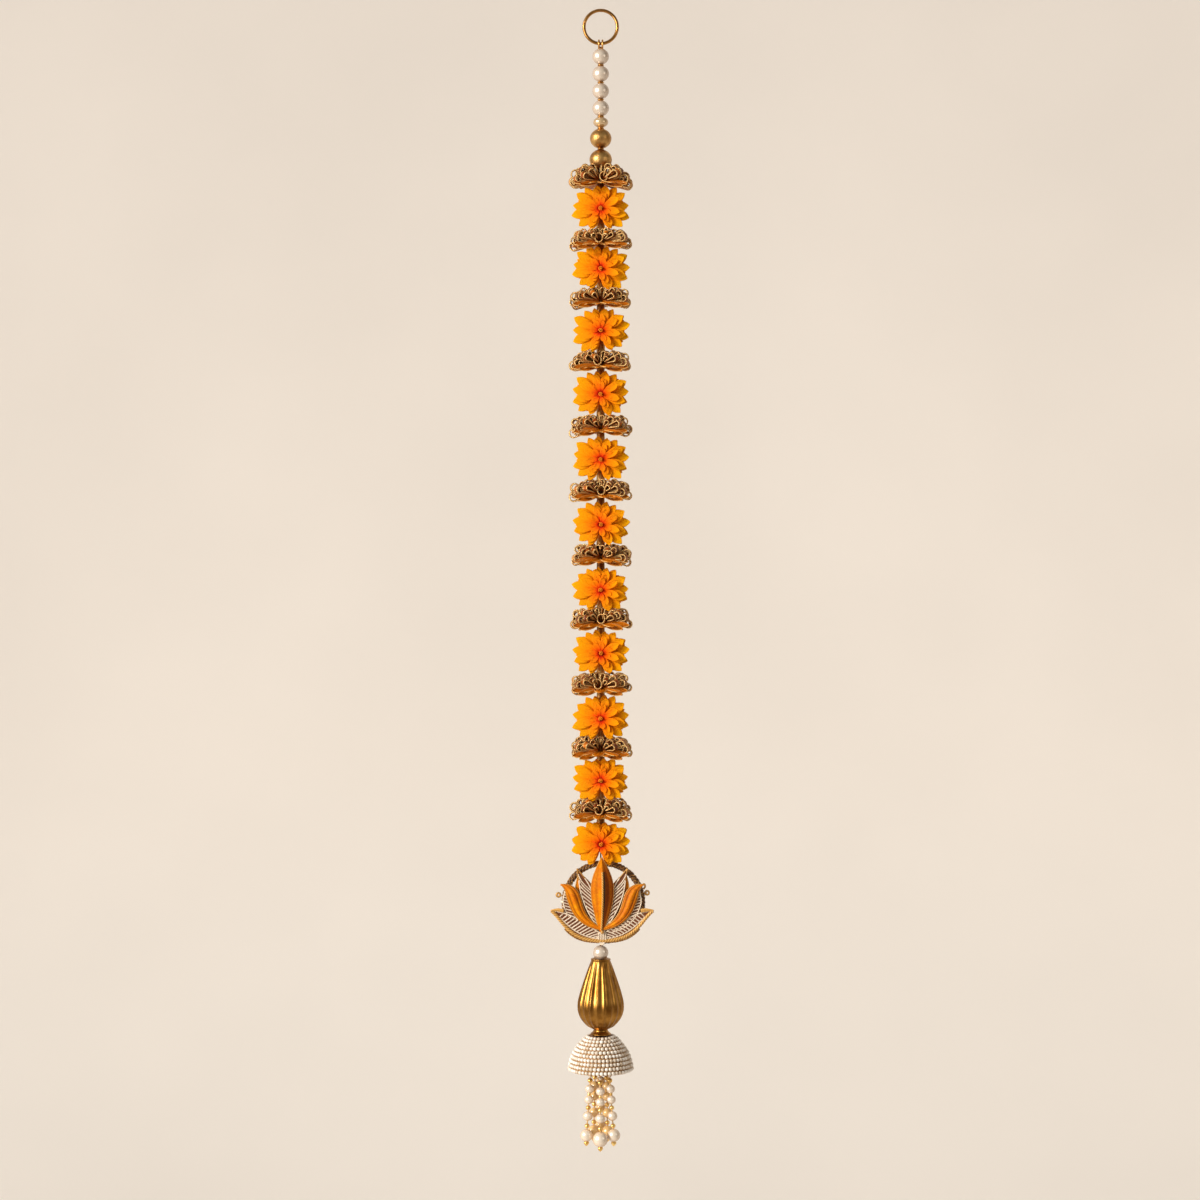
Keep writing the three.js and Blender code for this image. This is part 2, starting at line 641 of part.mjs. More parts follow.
// Fluted drop: every second line of its skin lies in a groove
function addFlutedDrop() {
  const height = DROP.top - DROP.bottom;
  const profile = [
    [0, DROP.bottom], [5.7, DROP.bottom], [11.2, DROP.bottom + 0.055 * height],
    [17.0, DROP.bottom + 0.18 * height], [18.8, DROP.bottom + 0.33 * height],
    [16.9, DROP.bottom + 0.5 * height], [DROP.rim, DROP.top], [0, DROP.top],
  ];
  const drop = turned(profile, 2 * DROP.flutes);
  const position = drop.attributes.position;
  for (let i = 0; i < position.count; i += 1) {
    const line = Math.round((Math.atan2(position.getY(i), position.getX(i)) / Math.PI) * DROP.flutes);
    const scale = line % 2 === 0 ? 1 : 1 - DROP.depth;
    position.setXY(i, position.getX(i) * scale, position.getY(i) * scale);
  }
  const { top } = DROP;
  const dish = turned([[0, top - 1.9], [3.6, top - 1.5], [6.0, top + 1], [0, top + 1]], 10);
  const solid = toSolid(drop).subtract(toSolid(dish));
  addPiece('fluted_drop', 'brass', toGeometry(bored(solid, DROP.top + 1, DROP.bottom - 1)));
}

function addCollar() {
  const { top, bottom, neck, foot } = COLLAR;
  const collar = turned([[0, bottom], [foot - 1.2, bottom], [foot, bottom + 1.1], [neck, top], [0, top]], 12);
  addPiece('collar', 'brass', toGeometry(bored(toSolid(collar), top + 1, bottom - 1)));
}

function domeRadius(share) {
  return DOME.crown + (DOME.mouth - DOME.crown) * Math.sin((share * Math.PI) / 2) ** DOME.round;
}

// Beaded dome: rounded rows outside, one smooth wall inside, open at the mouth
function addBeadedDome() {
  const depth = DOME.top - DOME.rim;
  const profile = [[BORE, DOME.top], [DOME.crown, DOME.top]];
  for (let row = 0; row < DOME.rows; row += 1) {
    const crest = (row + 0.5) / DOME.rows;
    const groove = (row + 1) / DOME.rows;
    profile.push([domeRadius(crest) + DOME.relief, DOME.top - crest * depth]);
    profile.push([domeRadius(groove) - DOME.relief, DOME.top - groove * depth]);
  }
  const inside = [1, 0.62, 0.3, 0.08];
  inside.forEach((share) => {
    const height = DOME.top - DOME.wall * (1 - share) - share * depth;
    profile.push([domeRadius(share) - DOME.wall - DOME.relief, height]);
  });
  profile.push([BORE, DOME.top - DOME.wall]);
  profile.push([BORE, DOME.top]);
  addPiece('beaded_dome', 'beadwork', facingOut(turned(profile, 16)));
}

// Bead centres of a tassel strand, up from the middle of its end pearl
function strandBeads(pearl) {
  return [
    { up: pearl + 2.4, radius: 2.0, seed: true },
    { up: pearl + 10.3, radius: 4.0 },
    { up: pearl + 16.9, radius: 2.0, seed: true },
    { up: pearl + 23.4, radius: 3.6 },
    { up: pearl + 31.9, radius: 3.6 },
    { up: pearl + 38.7, radius: 2.0, seed: true },
  ];
}

function strandProfile({ end, pearl }, top) {
  const profile = [[0, end - pearl - 3.6], [2.0, end - pearl - 1.4], [0.9, end - pearl + 0.1]];
  profile.push([pearl * 0.8, end - pearl * 0.6], [pearl, end], [pearl * 0.8, end + pearl * 0.6]);
  profile.push([0.7, end + pearl]);
  strandBeads(pearl).forEach(({ up, radius, seed }) => {
    const middle = end + up;
    if (seed) {
      profile.push([radius, middle], [0.7, middle + radius * 0.9]);
    } else {
      profile.push([radius * 0.9, middle - radius * 0.5], [radius * 0.9, middle + radius * 0.5]);
      profile.push([0.7, middle + radius]);
    }
  });
  profile.push([0.6, top], [0, top]);
  return profile;
}

// A strand leaves the knob near its middle, swings out under the dome and falls to its end pearl
function addTasselStrand(strand) {
  const top = KNOB.z - KNOB.half - GAP;
  const start = new THREE.Vector2(...strand.top).setLength(2.2);
  const shoulder = new THREE.Vector2(...strand.top);
  const foot = new THREE.Vector2(...strand.foot);
  const shoulderZ = DOME.rim + 4;
  const geometry = turned(strandProfile(strand, top), 6);
  const position = geometry.attributes.position;
  const offset = new THREE.Vector2();
  for (let i = 0; i < position.count; i += 1) {
    const z = position.getZ(i);
    if (z > shoulderZ) {
      offset.lerpVectors(shoulder, start, (z - shoulderZ) / (top - shoulderZ));
    } else {
      offset.lerpVectors(foot, shoulder, Math.max((z - strand.end) / (shoulderZ - strand.end), 0));
    }
    position.setXY(i, position.getX(i) + offset.x, position.getY(i) + offset.y);
  }
  addPiece(`tassel_${strand.name}`, 'pearl', facingOut(geometry));
}

addHangingRing();
addStringingWire();
addHeadBeads();
addFlowers();
addLotusFrame();
addLotusPetals();
addDropWire();
addDropPearl();
addFlutedDrop();
addCollar();
addBeadedDome();
STRANDS.forEach(addTasselStrand);

export default garland;
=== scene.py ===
from math import asin, cos, floor, pi, radians, sin, sqrt, tan

import bpy
import numpy as np
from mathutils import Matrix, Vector


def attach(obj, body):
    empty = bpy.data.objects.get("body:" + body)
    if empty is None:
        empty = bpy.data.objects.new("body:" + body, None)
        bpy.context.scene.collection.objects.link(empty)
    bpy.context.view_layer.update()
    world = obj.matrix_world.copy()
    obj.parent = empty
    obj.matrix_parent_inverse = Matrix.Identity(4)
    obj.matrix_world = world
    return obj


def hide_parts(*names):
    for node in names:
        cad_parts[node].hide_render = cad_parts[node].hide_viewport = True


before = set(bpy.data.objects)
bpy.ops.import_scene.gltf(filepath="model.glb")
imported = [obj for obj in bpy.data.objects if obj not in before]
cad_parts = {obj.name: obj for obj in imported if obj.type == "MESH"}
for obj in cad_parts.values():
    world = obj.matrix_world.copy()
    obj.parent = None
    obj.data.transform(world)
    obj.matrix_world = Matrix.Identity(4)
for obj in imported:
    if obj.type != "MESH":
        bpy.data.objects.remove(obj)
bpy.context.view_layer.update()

# Lengths are in millimetres until a piece is made; Z is up and the front faces -Y.
MM = 0.001
TAU = 2 * pi

RING = {"wire": 1.3, "inside": 12.0}
RING_CENTRE = -RING["inside"]
RING_FOOT = RING_CENTRE - RING["inside"] - RING["wire"]
WIRE = 0.6
BORE = 1.0
GAP = 0.3
TOP_EYE = {"apart": 2.8, "wide": 2.45, "high": 3.1, "wire": 0.78, "drop": 0.55}
PEARL_HEIGHTS = [-35.7 - 13.8 * i for i in range(4)]
PEARL = (6.7, 6.35)
CHAMPAGNE = (-88.3, 6.1, 4.3)
GOLD_BALLS = [(-101.3, 8.6, 7.9), (-118.3, 9.0, 8.3)]

# Steps down from one flower to the next, ribbon flower and marigold by turns
FIRST_FLOWER = -134.4
FLOWER_STEPS = [
    24.0, 24.8, 23.2, 24.0, 25.6, 24.8, 25.6, 25.6, 26.4, 25.6, 26.4,
    24.8, 27.2, 24.0, 26.4, 25.6, 26.4, 24.0, 25.6, 24.0, 26.4,
]
BOSS = {"x": 3.6, "y": 5.95, "half": 5.5, "back": -3.4, "front": 6.9, "turns": 54, "levels": 8}
BLOOM_REACH = (23.2, 17.9)
BLOOM_POWER = 2.7
LEAN_UP = 0.13
DYE_REACH = 22.8
CLOTH = 0.42
HUB_TOP = 4.0
HUB_RADIUS = 3.0

FRAME = {"x": 2.2, "z": -712.0, "ring": 31.0, "band": 2.2}
LOTUS_AXIS = 1.2
REAR_DEPTH, SILVER_DEPTH, ORANGE_DEPTH = -2.6, -3.9, -5.1
HOOK_POWER = 6

DROP_PEARL = (-752.5, 6.2, 6.0)
DROP = {"top": -757.1, "bottom": -813.6, "flutes": 20, "depth": 0.06}
COLLAR = {"top": -813.9, "bottom": -818.1, "neck": 5.7, "foot": 8.2}
DOME = {"top": -818.4, "rim": -846.4, "crown": 9.5, "mouth": 26.0, "wall": 1.2, "round": 0.7}
DOME_ROWS = 10
KNOB = {"z": -823.0, "radius": 3.3, "half": 2.1}
# x and y where a tassel strand leaves the dome and where it ends, then its end pearl's height and radius
STRANDS = {
    "front_centre": ((-0.4, -5.0), (-0.3, -7.2), -900.4, 6.1),
    "front_left": ((-7.6, -2.0), (-11.4, -2.2), -898.1, 5.1),
    "front_right": ((6.4, -3.6), (10.4, -3.0), -898.0, 5.2),
    "back_left": ((-4.4, 5.2), (-5.6, 6.9), -896.6, 4.8),
    "back_centre": ((0.2, 9.8), (0.0, 14.6), -893.4, 4.3),
    "back_right": ((4.6, 4.8), (5.4, 6.6), -897.0, 4.8),
}


def chance(a, b):
    """An even draw from 0 to 1, the same for the same pair."""
    wave = sin(a * 12.9898 + b * 78.233) * 43758.5453
    return wave - floor(wave)


def chances(a, b, count):
    return [chance(a, b + k) for k in range(count)]


def smooth(value, low, high):
    share = np.clip((value - low) / (high - low), 0, 1)
    return share * share * (3 - 2 * share)


def risen(share):
    """A quarter wave from 0 to 1, and 1 from there on."""
    return np.sin(np.clip(share, 0, 1) * pi / 2)


def box_reach(angle, wide, high, power):
    """How far a box with rounded corners reaches at that angle."""
    across, upward = abs(cos(angle)) / wide, abs(sin(angle)) / high
    return (across**power + upward**power) ** (-1 / power)


def around(count):
    """Even angles, once round."""
    return np.linspace(0, TAU, count, endpoint=False)


def together(*columns):
    """Numbers and arrays, spread to one shape and set side by side as points."""
    return np.stack(np.broadcast_arrays(*columns), -1)


def unit(vectors, tiny=0.0):
    """Vectors at length one; a tiny length more keeps a zero vector from failing."""
    return vectors / (np.linalg.norm(vectors, axis=-1, keepdims=True) + tiny)


def lengths(path):
    """How far along the path each of its points lies."""
    return np.concatenate([[0], np.cumsum(np.linalg.norm(np.diff(path, axis=0), axis=1))])


def spaced(path, count):
    """The same path with count points at even distances."""
    along = lengths(path)
    even = np.linspace(0, along[-1], count)
    return np.stack([np.interp(even, along, column) for column in path.T], -1)


def resampled(path, step):
    path = np.asarray(path, float)
    return spaced(path, max(3, int(lengths(path)[-1] / step) + 1))


def circle(centre, radius, count, plane="xz"):
    u, v = np.cos(around(count)) * radius, np.sin(around(count)) * radius
    columns = {"xz": (u, 0, v), "yz": (0, u, v), "xy": (u, v, 0)}[plane]
    return together(*columns) + np.asarray(centre, float)


def round_section(radius, count=8):
    turn = around(count)
    return np.stack([np.cos(turn) * radius, np.sin(turn) * radius], -1)


def eased(points, count):
    """A smooth curve through (radius, height) points."""
    points = np.asarray(points, float)
    padded = np.concatenate([2 * points[:1] - points[1:2], points, 2 * points[-1:] - points[-2:-1]])
    out = []
    for i in range(1, len(padded) - 2):
        a, b, c, d = padded[i - 1:i + 3]
        for s in np.linspace(0, 1, count, endpoint=False):
            out.append(0.5 * (2 * b + (c - a) * s + (2 * a - 5 * b + 4 * c - d) * s**2
                              + (3 * b - a - 3 * c + d) * s**3))
    return np.array(out + [points[-1]])


# Mesh building


class Skin:
    """Points in millimetres. Each also carries (along, across, draw), which its material reads; draw holds a
    random tone, and on cords and padded petals painted shade.
    """

    def __init__(self):
        self.points, self.facts, self.faces, self.kinds = [], [], [], []
        self.count = 0

    def grid(self, rows, facts=(0, 0, 0.5), kind=0, ring=False, loop=False):
        """Rows of points; ring joins the ends of every row, loop the last row to the first."""
        rows = np.asarray(rows, float)
        n, m, _ = rows.shape
        first = self.count
        self.points.append(rows.reshape(-1, 3))
        self.facts.append(np.broadcast_to(np.asarray(facts, float), rows.shape).reshape(-1, 3))
        i, j = np.meshgrid(np.arange(n if loop else n - 1), np.arange(m if ring else m - 1), indexing="ij")
        corners = [i * m + j, i * m + (j + 1) % m, (i + 1) % n * m + (j + 1) % m, (i + 1) % n * m + j]
        self.add_faces(first + np.stack(corners, -1).reshape(-1, 4), kind)
        self.count += n * m
        return first

    def add_faces(self, faces, kind):
        self.faces.extend(faces.tolist())
        self.kinds.extend([kind] * len(faces))

    def slab(self, front, back, facts, kind=0):
        """A closed sheet between two grids of the same size."""
        n, m, _ = front.shape
        facts = np.broadcast_to(facts, front.shape)
        rows = np.concatenate([front, back[:, ::-1]], axis=1)
        first = self.grid(rows, np.concatenate([facts, facts[:, ::-1]], axis=1), kind, ring=True)
        j = np.arange(m - 1)
        cap = np.stack([j, 2 * m - 1 - j, 2 * m - 2 - j, j + 1], -1)
        self.add_faces(first + cap, kind)
        self.add_faces(first + (n - 1) * 2 * m + cap[:, ::-1], kind)

    def sheet(self, rows, thick, facts, kind=0):
        normal = unit(np.cross(np.gradient(rows, axis=0), np.gradient(rows, axis=1)), 1e-9)
        self.slab(rows + normal * thick / 2, rows - normal * thick / 2, facts, kind)

    def tube(self, path, section, kind=0, closed=False, side=None, draw=0.5, widen=1.0):
        """Sweeps section, (across, out) pairs for each path point, along path."""
        path = np.asarray(path, float)
        if closed:
            tangent = np.roll(path, -1, axis=0) - np.roll(path, 1, axis=0)
        else:
            tangent = np.gradient(path, axis=0)
        tangent = unit(tangent, 1e-12)
        first = carried(tangent) if side is None else np.broadcast_to(np.asarray(side, float), path.shape)
        second = unit(np.cross(tangent, first), 1e-12)
        n, k = len(path), section.shape[-2]
        across, out = (np.broadcast_to(section[..., part], (n, k)) for part in (0, 1))
        across = across * np.reshape(widen, (-1, 1))
        rows = path[:, None] + across[..., None] * first[:, None] + out[..., None] * second[:, None]
        facts = together(lengths(path)[:, None], across / (np.abs(across).max() + 1e-9), draw)
        start = self.grid(rows, facts, kind, ring=True, loop=closed)
        if not closed:
            self.close_end(start, k, path[0], facts[0, 0], kind, True)
            self.close_end(start + (n - 1) * k, k, path[-1], facts[-1, 0], kind, False)

    def close_end(self, start, k, centre, fact, kind, backwards):
        self.points.append(np.reshape(centre, (1, 3)))
        self.facts.append(np.reshape(fact, (1, 3)))
        hub = self.count
        self.count += 1
        for j in range(k):
            a, b = start + j, start + (j + 1) % k
            self.faces.append([hub, b, a] if backwards else [hub, a, b])
            self.kinds.append(kind)

    def hoop(self, centre, radius, count, plane, wire, sides, kind=0):
        """A closed ring of round wire."""
        self.tube(circle(centre, radius, count, plane), round_section(wire, sides), kind, closed=True)

    def turned(self, profile, sides, centre=(0, 0, 0), kind=0, draw=0.5, scale=None):
        """(radius, height) pairs turned about Z, with the profile closed on itself."""
        profile = np.asarray(profile, float)
        angle = around(sides)
        height = profile[:, 1:]
        radius = profile[:, :1] * (np.ones_like(angle) if scale is None else scale(angle, height))
        rows = together(np.cos(angle) * radius, np.sin(angle) * radius, height) + np.asarray(centre)
        self.grid(rows, together(height, angle, draw), kind, ring=True, loop=True)

    def bead(self, centre, radius, half, sides, bands, kind=0, draw=0.5, bore=BORE):
        start = asin(min(bore / radius, 0.95))
        turn = np.linspace(start, pi - start, bands)
        self.turned(together(np.sin(turn) * radius, np.cos(turn) * half), sides, centre, kind, draw)

    def move(self, change):
        """Applies change to every point made so far."""
        self.points = [change(np.concatenate(self.points))]


def carried(tangent):
    """A side direction carried along a path without twisting."""
    sides = np.zeros_like(tangent)
    helper = np.array([0.0, 0.0, 1.0]) if abs(tangent[0][2]) < 0.9 else np.array([1.0, 0.0, 0.0])
    side = np.cross(tangent[0], helper)
    for i, ahead in enumerate(tangent):
        side = unit(side - ahead * side.dot(ahead), 1e-12)
        sides[i] = side
    return sides


def rope(skin, path, radius, pitch, strands=2, kind=0, closed=False, count=10, bulge=0.2, tone=1.0):
    """A twisted cord: its strands show as ridges that wind along it, and its draw follows the ridges, so
    painted shade lies between the strands. A low tone makes it darker.
    """
    along = lengths(path)
    if closed:
        whole = along[-1] + np.linalg.norm(path[0] - path[-1])
        pitch = whole / round(whole / pitch)
    wave = np.abs(np.cos(strands * around(count) / 2 + pi * along[:, None] / pitch))
    section = round_section(radius * (1 - bulge + bulge * wave), count)
    # The ridge wave is also the draw, which the material turns into painted shade between the strands.
    skin.tube(path, section, kind, closed, draw=wave * tone)


def add_object(name, data):
    made = bpy.data.objects.new(name, data)
    bpy.context.scene.collection.objects.link(made)
    return made


def meshed(name, skin, paints):
    """An object of the skin's faces, in metres."""
    mesh = bpy.data.meshes.new(name)
    mesh.from_pydata((np.concatenate(skin.points) * MM).tolist(), [], skin.faces)
    mesh.polygons.foreach_set("material_index", skin.kinds)
    mesh.polygons.foreach_set("use_smooth", [True] * len(mesh.polygons))
    facts = mesh.attributes.new("facts", "FLOAT_VECTOR", "POINT")
    facts.data.foreach_set("vector", np.concatenate(skin.facts).astype(np.float32).ravel())
    for paint in paints:
        mesh.materials.append(paint)
    mesh.validate()
    mesh.update()
    return add_object(name, mesh)


def piece(name, skin, node, paints, body="strand"):
    """Makes the object from its skin and hands it to the frame."""
    made = meshed(name, skin, paints)
    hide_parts(node)
    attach(made, body)


# Materials


def colour(red, green, blue):
    """Linear colour from display values of 0 to 255."""
    levels = (((c / 255 + 0.055) / 1.055) ** 2.4 if c > 10 else c / 255 / 12.92 for c in (red, green, blue))
    return (*levels, 1)


class Value:
    """A node's output; each sum or product that it takes part in adds a Math node."""

    def __init__(self, nodes, socket):
        self.nodes, self.socket = nodes, socket

    def __add__(self, other):
        return self.nodes.math("ADD", self, other)

    def __sub__(self, other):
        return self.nodes.math("SUBTRACT", self, other)

    def __mul__(self, other):
        return self.nodes.math("MULTIPLY", self, other)

    def __pow__(self, other):
        return self.nodes.math("POWER", self, other)

    def __abs__(self):
        return self.nodes.math("ABSOLUTE", self)


class Nodes:
    """Adds shader nodes to a tree. An input takes a number, a colour in display values or a Value."""

    def __init__(self, tree):
        self.tree = tree

    def fill(self, socket, value):
        if isinstance(value, Value):
            self.tree.links.new(value.socket, socket)
        else:
            socket.default_value = colour(*value) if isinstance(value, tuple) else value

    def add(self, kind, inputs, **settings):
        """A new node; its inputs are filled by name or number."""
        node = self.tree.nodes.new("ShaderNode" + kind)
        for key, value in settings.items():
            setattr(node, key, value)
        for key, value in inputs.items():
            self.fill(node.inputs[key], value)
        return node

    def output(self, key, kind, inputs, **settings):
        return Value(self, self.add(kind, inputs, **settings).outputs[key])

    def math(self, operation, *values, clamp=False):
        return self.output(0, "Math", dict(enumerate(values)), operation=operation, use_clamp=clamp)

    def mix(self, share, a, b, blend="MIX"):
        return self.output(2, "Mix", {0: share, 6: a, 7: b}, data_type="RGBA", blend_type=blend)

    def ramp(self, value, stops):
        """Stops are (position, level) or (position, red, green, blue)."""
        node = self.add("ValToRGB", {"Fac": value})
        elements = node.color_ramp.elements
        while len(elements) < len(stops):
            elements.new(0.5)
        for element, (position, *shade) in zip(elements, stops):
            element.position = position
            element.color = colour(*shade) if len(shade) == 3 else (*shade * 3, 1)
        return Value(self, node.outputs["Color"])

    def split(self, vector):
        """The three parts of a vector."""
        return [Value(self, part) for part in self.add("SeparateXYZ", {"Vector": vector}).outputs]


class Paint(Nodes):
    """A Principled material."""

    def __init__(self, name, **sockets):
        self.material = bpy.data.materials.new(name)
        self.material.use_nodes = True
        super().__init__(self.material.node_tree)
        self.set(**sockets)

    def set(self, **sockets):
        shader = self.tree.nodes["Principled BSDF"]
        for key, value in sockets.items():
            self.fill(shader.inputs[key.replace("_", " ")], value)

    def finish(self, base, roughness, height, distance, strength):
        """Fills what every material has: its colour, its roughness and a bump."""
        bump = {"Height": height, "Distance": distance, "Strength": strength}
        self.set(Base_Color=base, Roughness=roughness, Normal=self.output("Normal", "Bump", bump))
        return self.material

    def facts(self):
        return self.split(self.output("Vector", "Attribute", {}, attribute_name="facts"))

    def place(self):
        return self.output("Object", "TexCoord", {})

    def noise(self, scale, detail=3):
        inputs = {"Vector": self.place(), "Scale": scale, "Detail": detail, "Roughness": 0.55}
        return self.output("Fac", "TexNoise", inputs)

    def wave(self, vector, direction, scale, distortion, detail=2):
        inputs = {"Vector": vector, "Scale": scale, "Distortion": distortion, "Detail": detail}
        return self.output("Fac", "TexWave", inputs, wave_type="BANDS", bands_direction=direction)

    def flat(self, x, y):
        return self.output(0, "CombineXYZ", {"X": x, "Y": y})


def petal_cloth():
    """Dyed petals: deep red at the root, orange, then yellow at the tip, with darker edges."""
    paint = Paint("petal_cloth", Specular_IOR_Level=0.08)
    along, across, draw = paint.facts()
    drift = (paint.noise(160) - 0.5) * 0.1 + (draw - 0.5) * 0.06
    dyed = paint.ramp(paint.math("ADD", along, drift, clamp=True), [
        (0, 110, 0, 0), (0.09, 196, 16, 0), (0.15, 240, 66, 0), (0.23, 255, 110, 0),
        (0.38, 255, 138, 0), (0.6, 255, 158, 0), (0.84, 255, 172, 0), (1, 255, 188, 6),
    ])
    edged = paint.mix(abs(across) ** 8 * 0.22, dyed, (226, 92, 0))
    veins = paint.wave(paint.flat(along * 0.6, across), "Y", 3.4, 1.2, 1)
    weave = paint.noise(2600, 1)
    base = paint.mix(veins * 0.12, edged, (240, 104, 0))
    return paint.finish(base, weave * 0.2 + 0.56, veins * 0.7 + weave * 0.3, 0.0003, 0.6)


def bud_cloth():
    """The roll in the middle of a bloom, pale at its lip."""
    paint = Paint("bud_cloth", Specular_IOR_Level=0.04)
    along, _, _ = paint.facts()
    weave = paint.noise(1800, 2)
    base = paint.mix(along, (230, 62, 0), (255, 156, 44))
    return paint.finish(base, weave * 0.2 + 0.5, weave, 0.0002, 0.6)


def gold_ribbon():
    """Woven ribbon: bright corded edges and a brown and amber ground between them."""
    paint = Paint("gold_ribbon")
    along, across, draw = paint.facts()
    edge = paint.ramp(abs(across), [(0.6, 0), (0.76, 1)])
    twist = paint.wave(paint.flat(along, across), "DIAGONAL", 0.55, 0.3)
    worn = paint.noise(300) * 0.6 + draw * 0.4
    ground = paint.ramp(worn, [(0.25, 66, 24, 0), (0.55, 150, 68, 0), (0.8, 216, 122, 8)])
    bright = paint.ramp(worn * 0.5 + twist * 0.6,
                        [(0.2, 140, 76, 16), (0.5, 214, 142, 54), (0.8, 255, 232, 164)])
    paint.set(Metallic=edge * 0.4 + 0.1)
    base = paint.mix(edge, ground, bright)
    return paint.finish(base, twist * 0.2 + 0.22, twist + paint.noise(1800, 1), 0.00025, 0.8)


def amber_satin():
    """Satin leaves under the loops, amber with fine ridges and a pale rim."""
    paint = Paint("amber_satin", Specular_IOR_Level=0.16)
    along, across, _ = paint.facts()
    ridges = paint.wave(paint.flat(along * 0.02, across), "Y", 2.6, 0.6)
    shade = paint.ramp(ridges, [(0.15, 170, 76, 0), (0.8, 255, 154, 8)])
    mottled = paint.mix(paint.noise(240) * 0.5, shade, (214, 108, 8))
    base = paint.mix(abs(across) ** 10, mottled, (246, 196, 116))
    return paint.finish(base, ridges * 0.18 + 0.32, ridges, 0.0004, 0.8)


def worn_metal(name, light, dark, rough, pits=0.0):
    """Plated or polished metal with tarnish in patches and, if asked, small pits."""
    paint = Paint(name, Metallic=1.0)
    patches = paint.ramp(paint.noise(130, 5), [(0.36, 0), (0.68, 1)])
    grain = paint.noise(600, 1)
    if pits:
        grain += paint.output("Distance", "TexVoronoi", {"Vector": paint.place(), "Scale": 620}) * 1.2
    base = paint.mix(patches, light, dark)
    return paint.finish(base, paint.noise(260) * 0.12 + rough, grain, 0.00002 + pits, 0.5)


def pearl_coat(name, light, warm, metallic=0.0):
    """Pearl lacquer: cream body, a clear coat, and painted shade and reflection that turn it darker and
    browner toward the edge.
    """
    paint = Paint(name, Metallic=metallic, Coat_Weight=1.0, Coat_Roughness=0.12, Coat_IOR=1.75)
    facing = paint.output("Facing", "LayerWeight", {"Blend": 0.36})
    cloud = paint.noise(190)
    # Painted shade and reflection: the facing mask mixes in the warm colour toward the silhouette.
    base = paint.mix(facing * 0.9, paint.mix(cloud * 0.3, light, warm), warm)
    return paint.finish(base, cloud * 0.14 + 0.2, paint.noise(1400, 2), 0.00004, 0.5)


def thread_work(name, light, dark, metallic, rough, full=0.5):
    """Cord and couched thread with painted shade: dark between its turns, rising to light where the crown
    reaches full.
    """
    paint = Paint(name, Metallic=metallic, Specular_IOR_Level=0.3)
    _, _, draw = paint.facts()
    crown = paint.math("ADD", draw, (paint.noise(500) - 0.5) * 0.7, clamp=True)
    share = paint.ramp(crown, [(0.08, 0), (0.5 * full, 0.5), (full, 1)])
    # Painted shade: the dark colour where draw is low, between the turns of a cord.
    base = paint.mix(share, dark, light)
    return paint.finish(base, crown * -0.1 + rough, paint.noise(1500, 2), 0.0002, 0.7)


def orange_satin():
    """Padded satin with a fine close weave, with painted shade where draw is low: in its folds, along its
    borders and over the centre petal's right half.
    """
    paint = Paint("orange_satin", Specular_IOR_Level=0.14)
    _, _, draw = paint.facts()
    weave = paint.wave(paint.place(), "X", 560, 1.2)
    warm = paint.ramp(paint.noise(120, 4), [(0.3, 212, 108, 0), (0.72, 246, 156, 0)])
    slub = paint.ramp(paint.noise(620), [(0.44, 0), (0.7, 0.5)])
    # (122, 52, 0) is the painted shade colour, taken where draw is low.
    base = paint.mix(draw, (122, 52, 0), paint.mix(slub, warm, (184, 84, 0)))
    return paint.finish(base, weave * 0.16 + 0.38, weave, 0.00012, 0.6)


def seed_bead():
    """Small white glass beads, a little uneven from one to the next."""
    paint = Paint("seed_bead", Coat_Weight=0.5, Coat_Roughness=0.1)
    _, _, draw = paint.facts()
    base = paint.mix(draw, (248, 242, 232), (206, 186, 160))
    return paint.finish(base, paint.noise(900) * 0.18 + 0.16, paint.noise(1500, 2), 0.00005, 0.5)


PITS = 0.00016
PETAL = petal_cloth()
BUD = bud_cloth()
RIBBON = gold_ribbon()
AMBER = amber_satin()
BRASS = worn_metal("brass", (226, 178, 104), (176, 122, 58), 0.22)
RING_BRASS = worn_metal("ring_brass", (196, 146, 80), (146, 98, 46), 0.2)
# A darker copy of the antique gold for the hubs, painting the shade they sit in among the loops.
SHADED_HUB_GOLD = worn_metal("hub_gold_painted_shade", (184, 136, 76), (112, 72, 34), 0.36, PITS)
DROP_BRASS = worn_metal("drop_brass", (176, 128, 60), (130, 86, 32), 0.25)
ANTIQUE = worn_metal("antique_gold", (216, 172, 106), (148, 100, 48), 0.34, PITS)
GOLD_BEAD = worn_metal("gold_bead", (255, 220, 144), (232, 184, 96), 0.26)
PEARL_COAT = pearl_coat("pearl", (238, 226, 208), (148, 98, 48), 0.3)
TASSEL_COAT = pearl_coat("tassel_pearl", (252, 242, 224), (196, 140, 72), 0.2)
# A darker golden copy of the tassel pearl for the back strands: painted shade and golden reflection behind
# the front strands.
SHADED_BACK_COAT = pearl_coat("golden_pearl", (240, 206, 144), (204, 146, 70))
CHAMPAGNE_COAT = pearl_coat("champagne", (236, 208, 160), (150, 100, 50), 0.55)
# The thread materials below paint shade between the turns of each cord, from its draw.
FRAME_CORD = thread_work("frame_cord", (128, 86, 44), (10, 4, 0), 0.0, 0.5, 1.0)
GOLD_CORD = thread_work("gold_cord", (226, 172, 92), (96, 54, 10), 0.15, 0.42, 0.8)
SILVER = thread_work("silver_thread", (250, 234, 208), (126, 74, 40), 0.0, 0.4, 0.8)
GROUND = thread_work("petal_ground", (142, 80, 42), (74, 36, 14), 0.0, 0.66, 0.9)
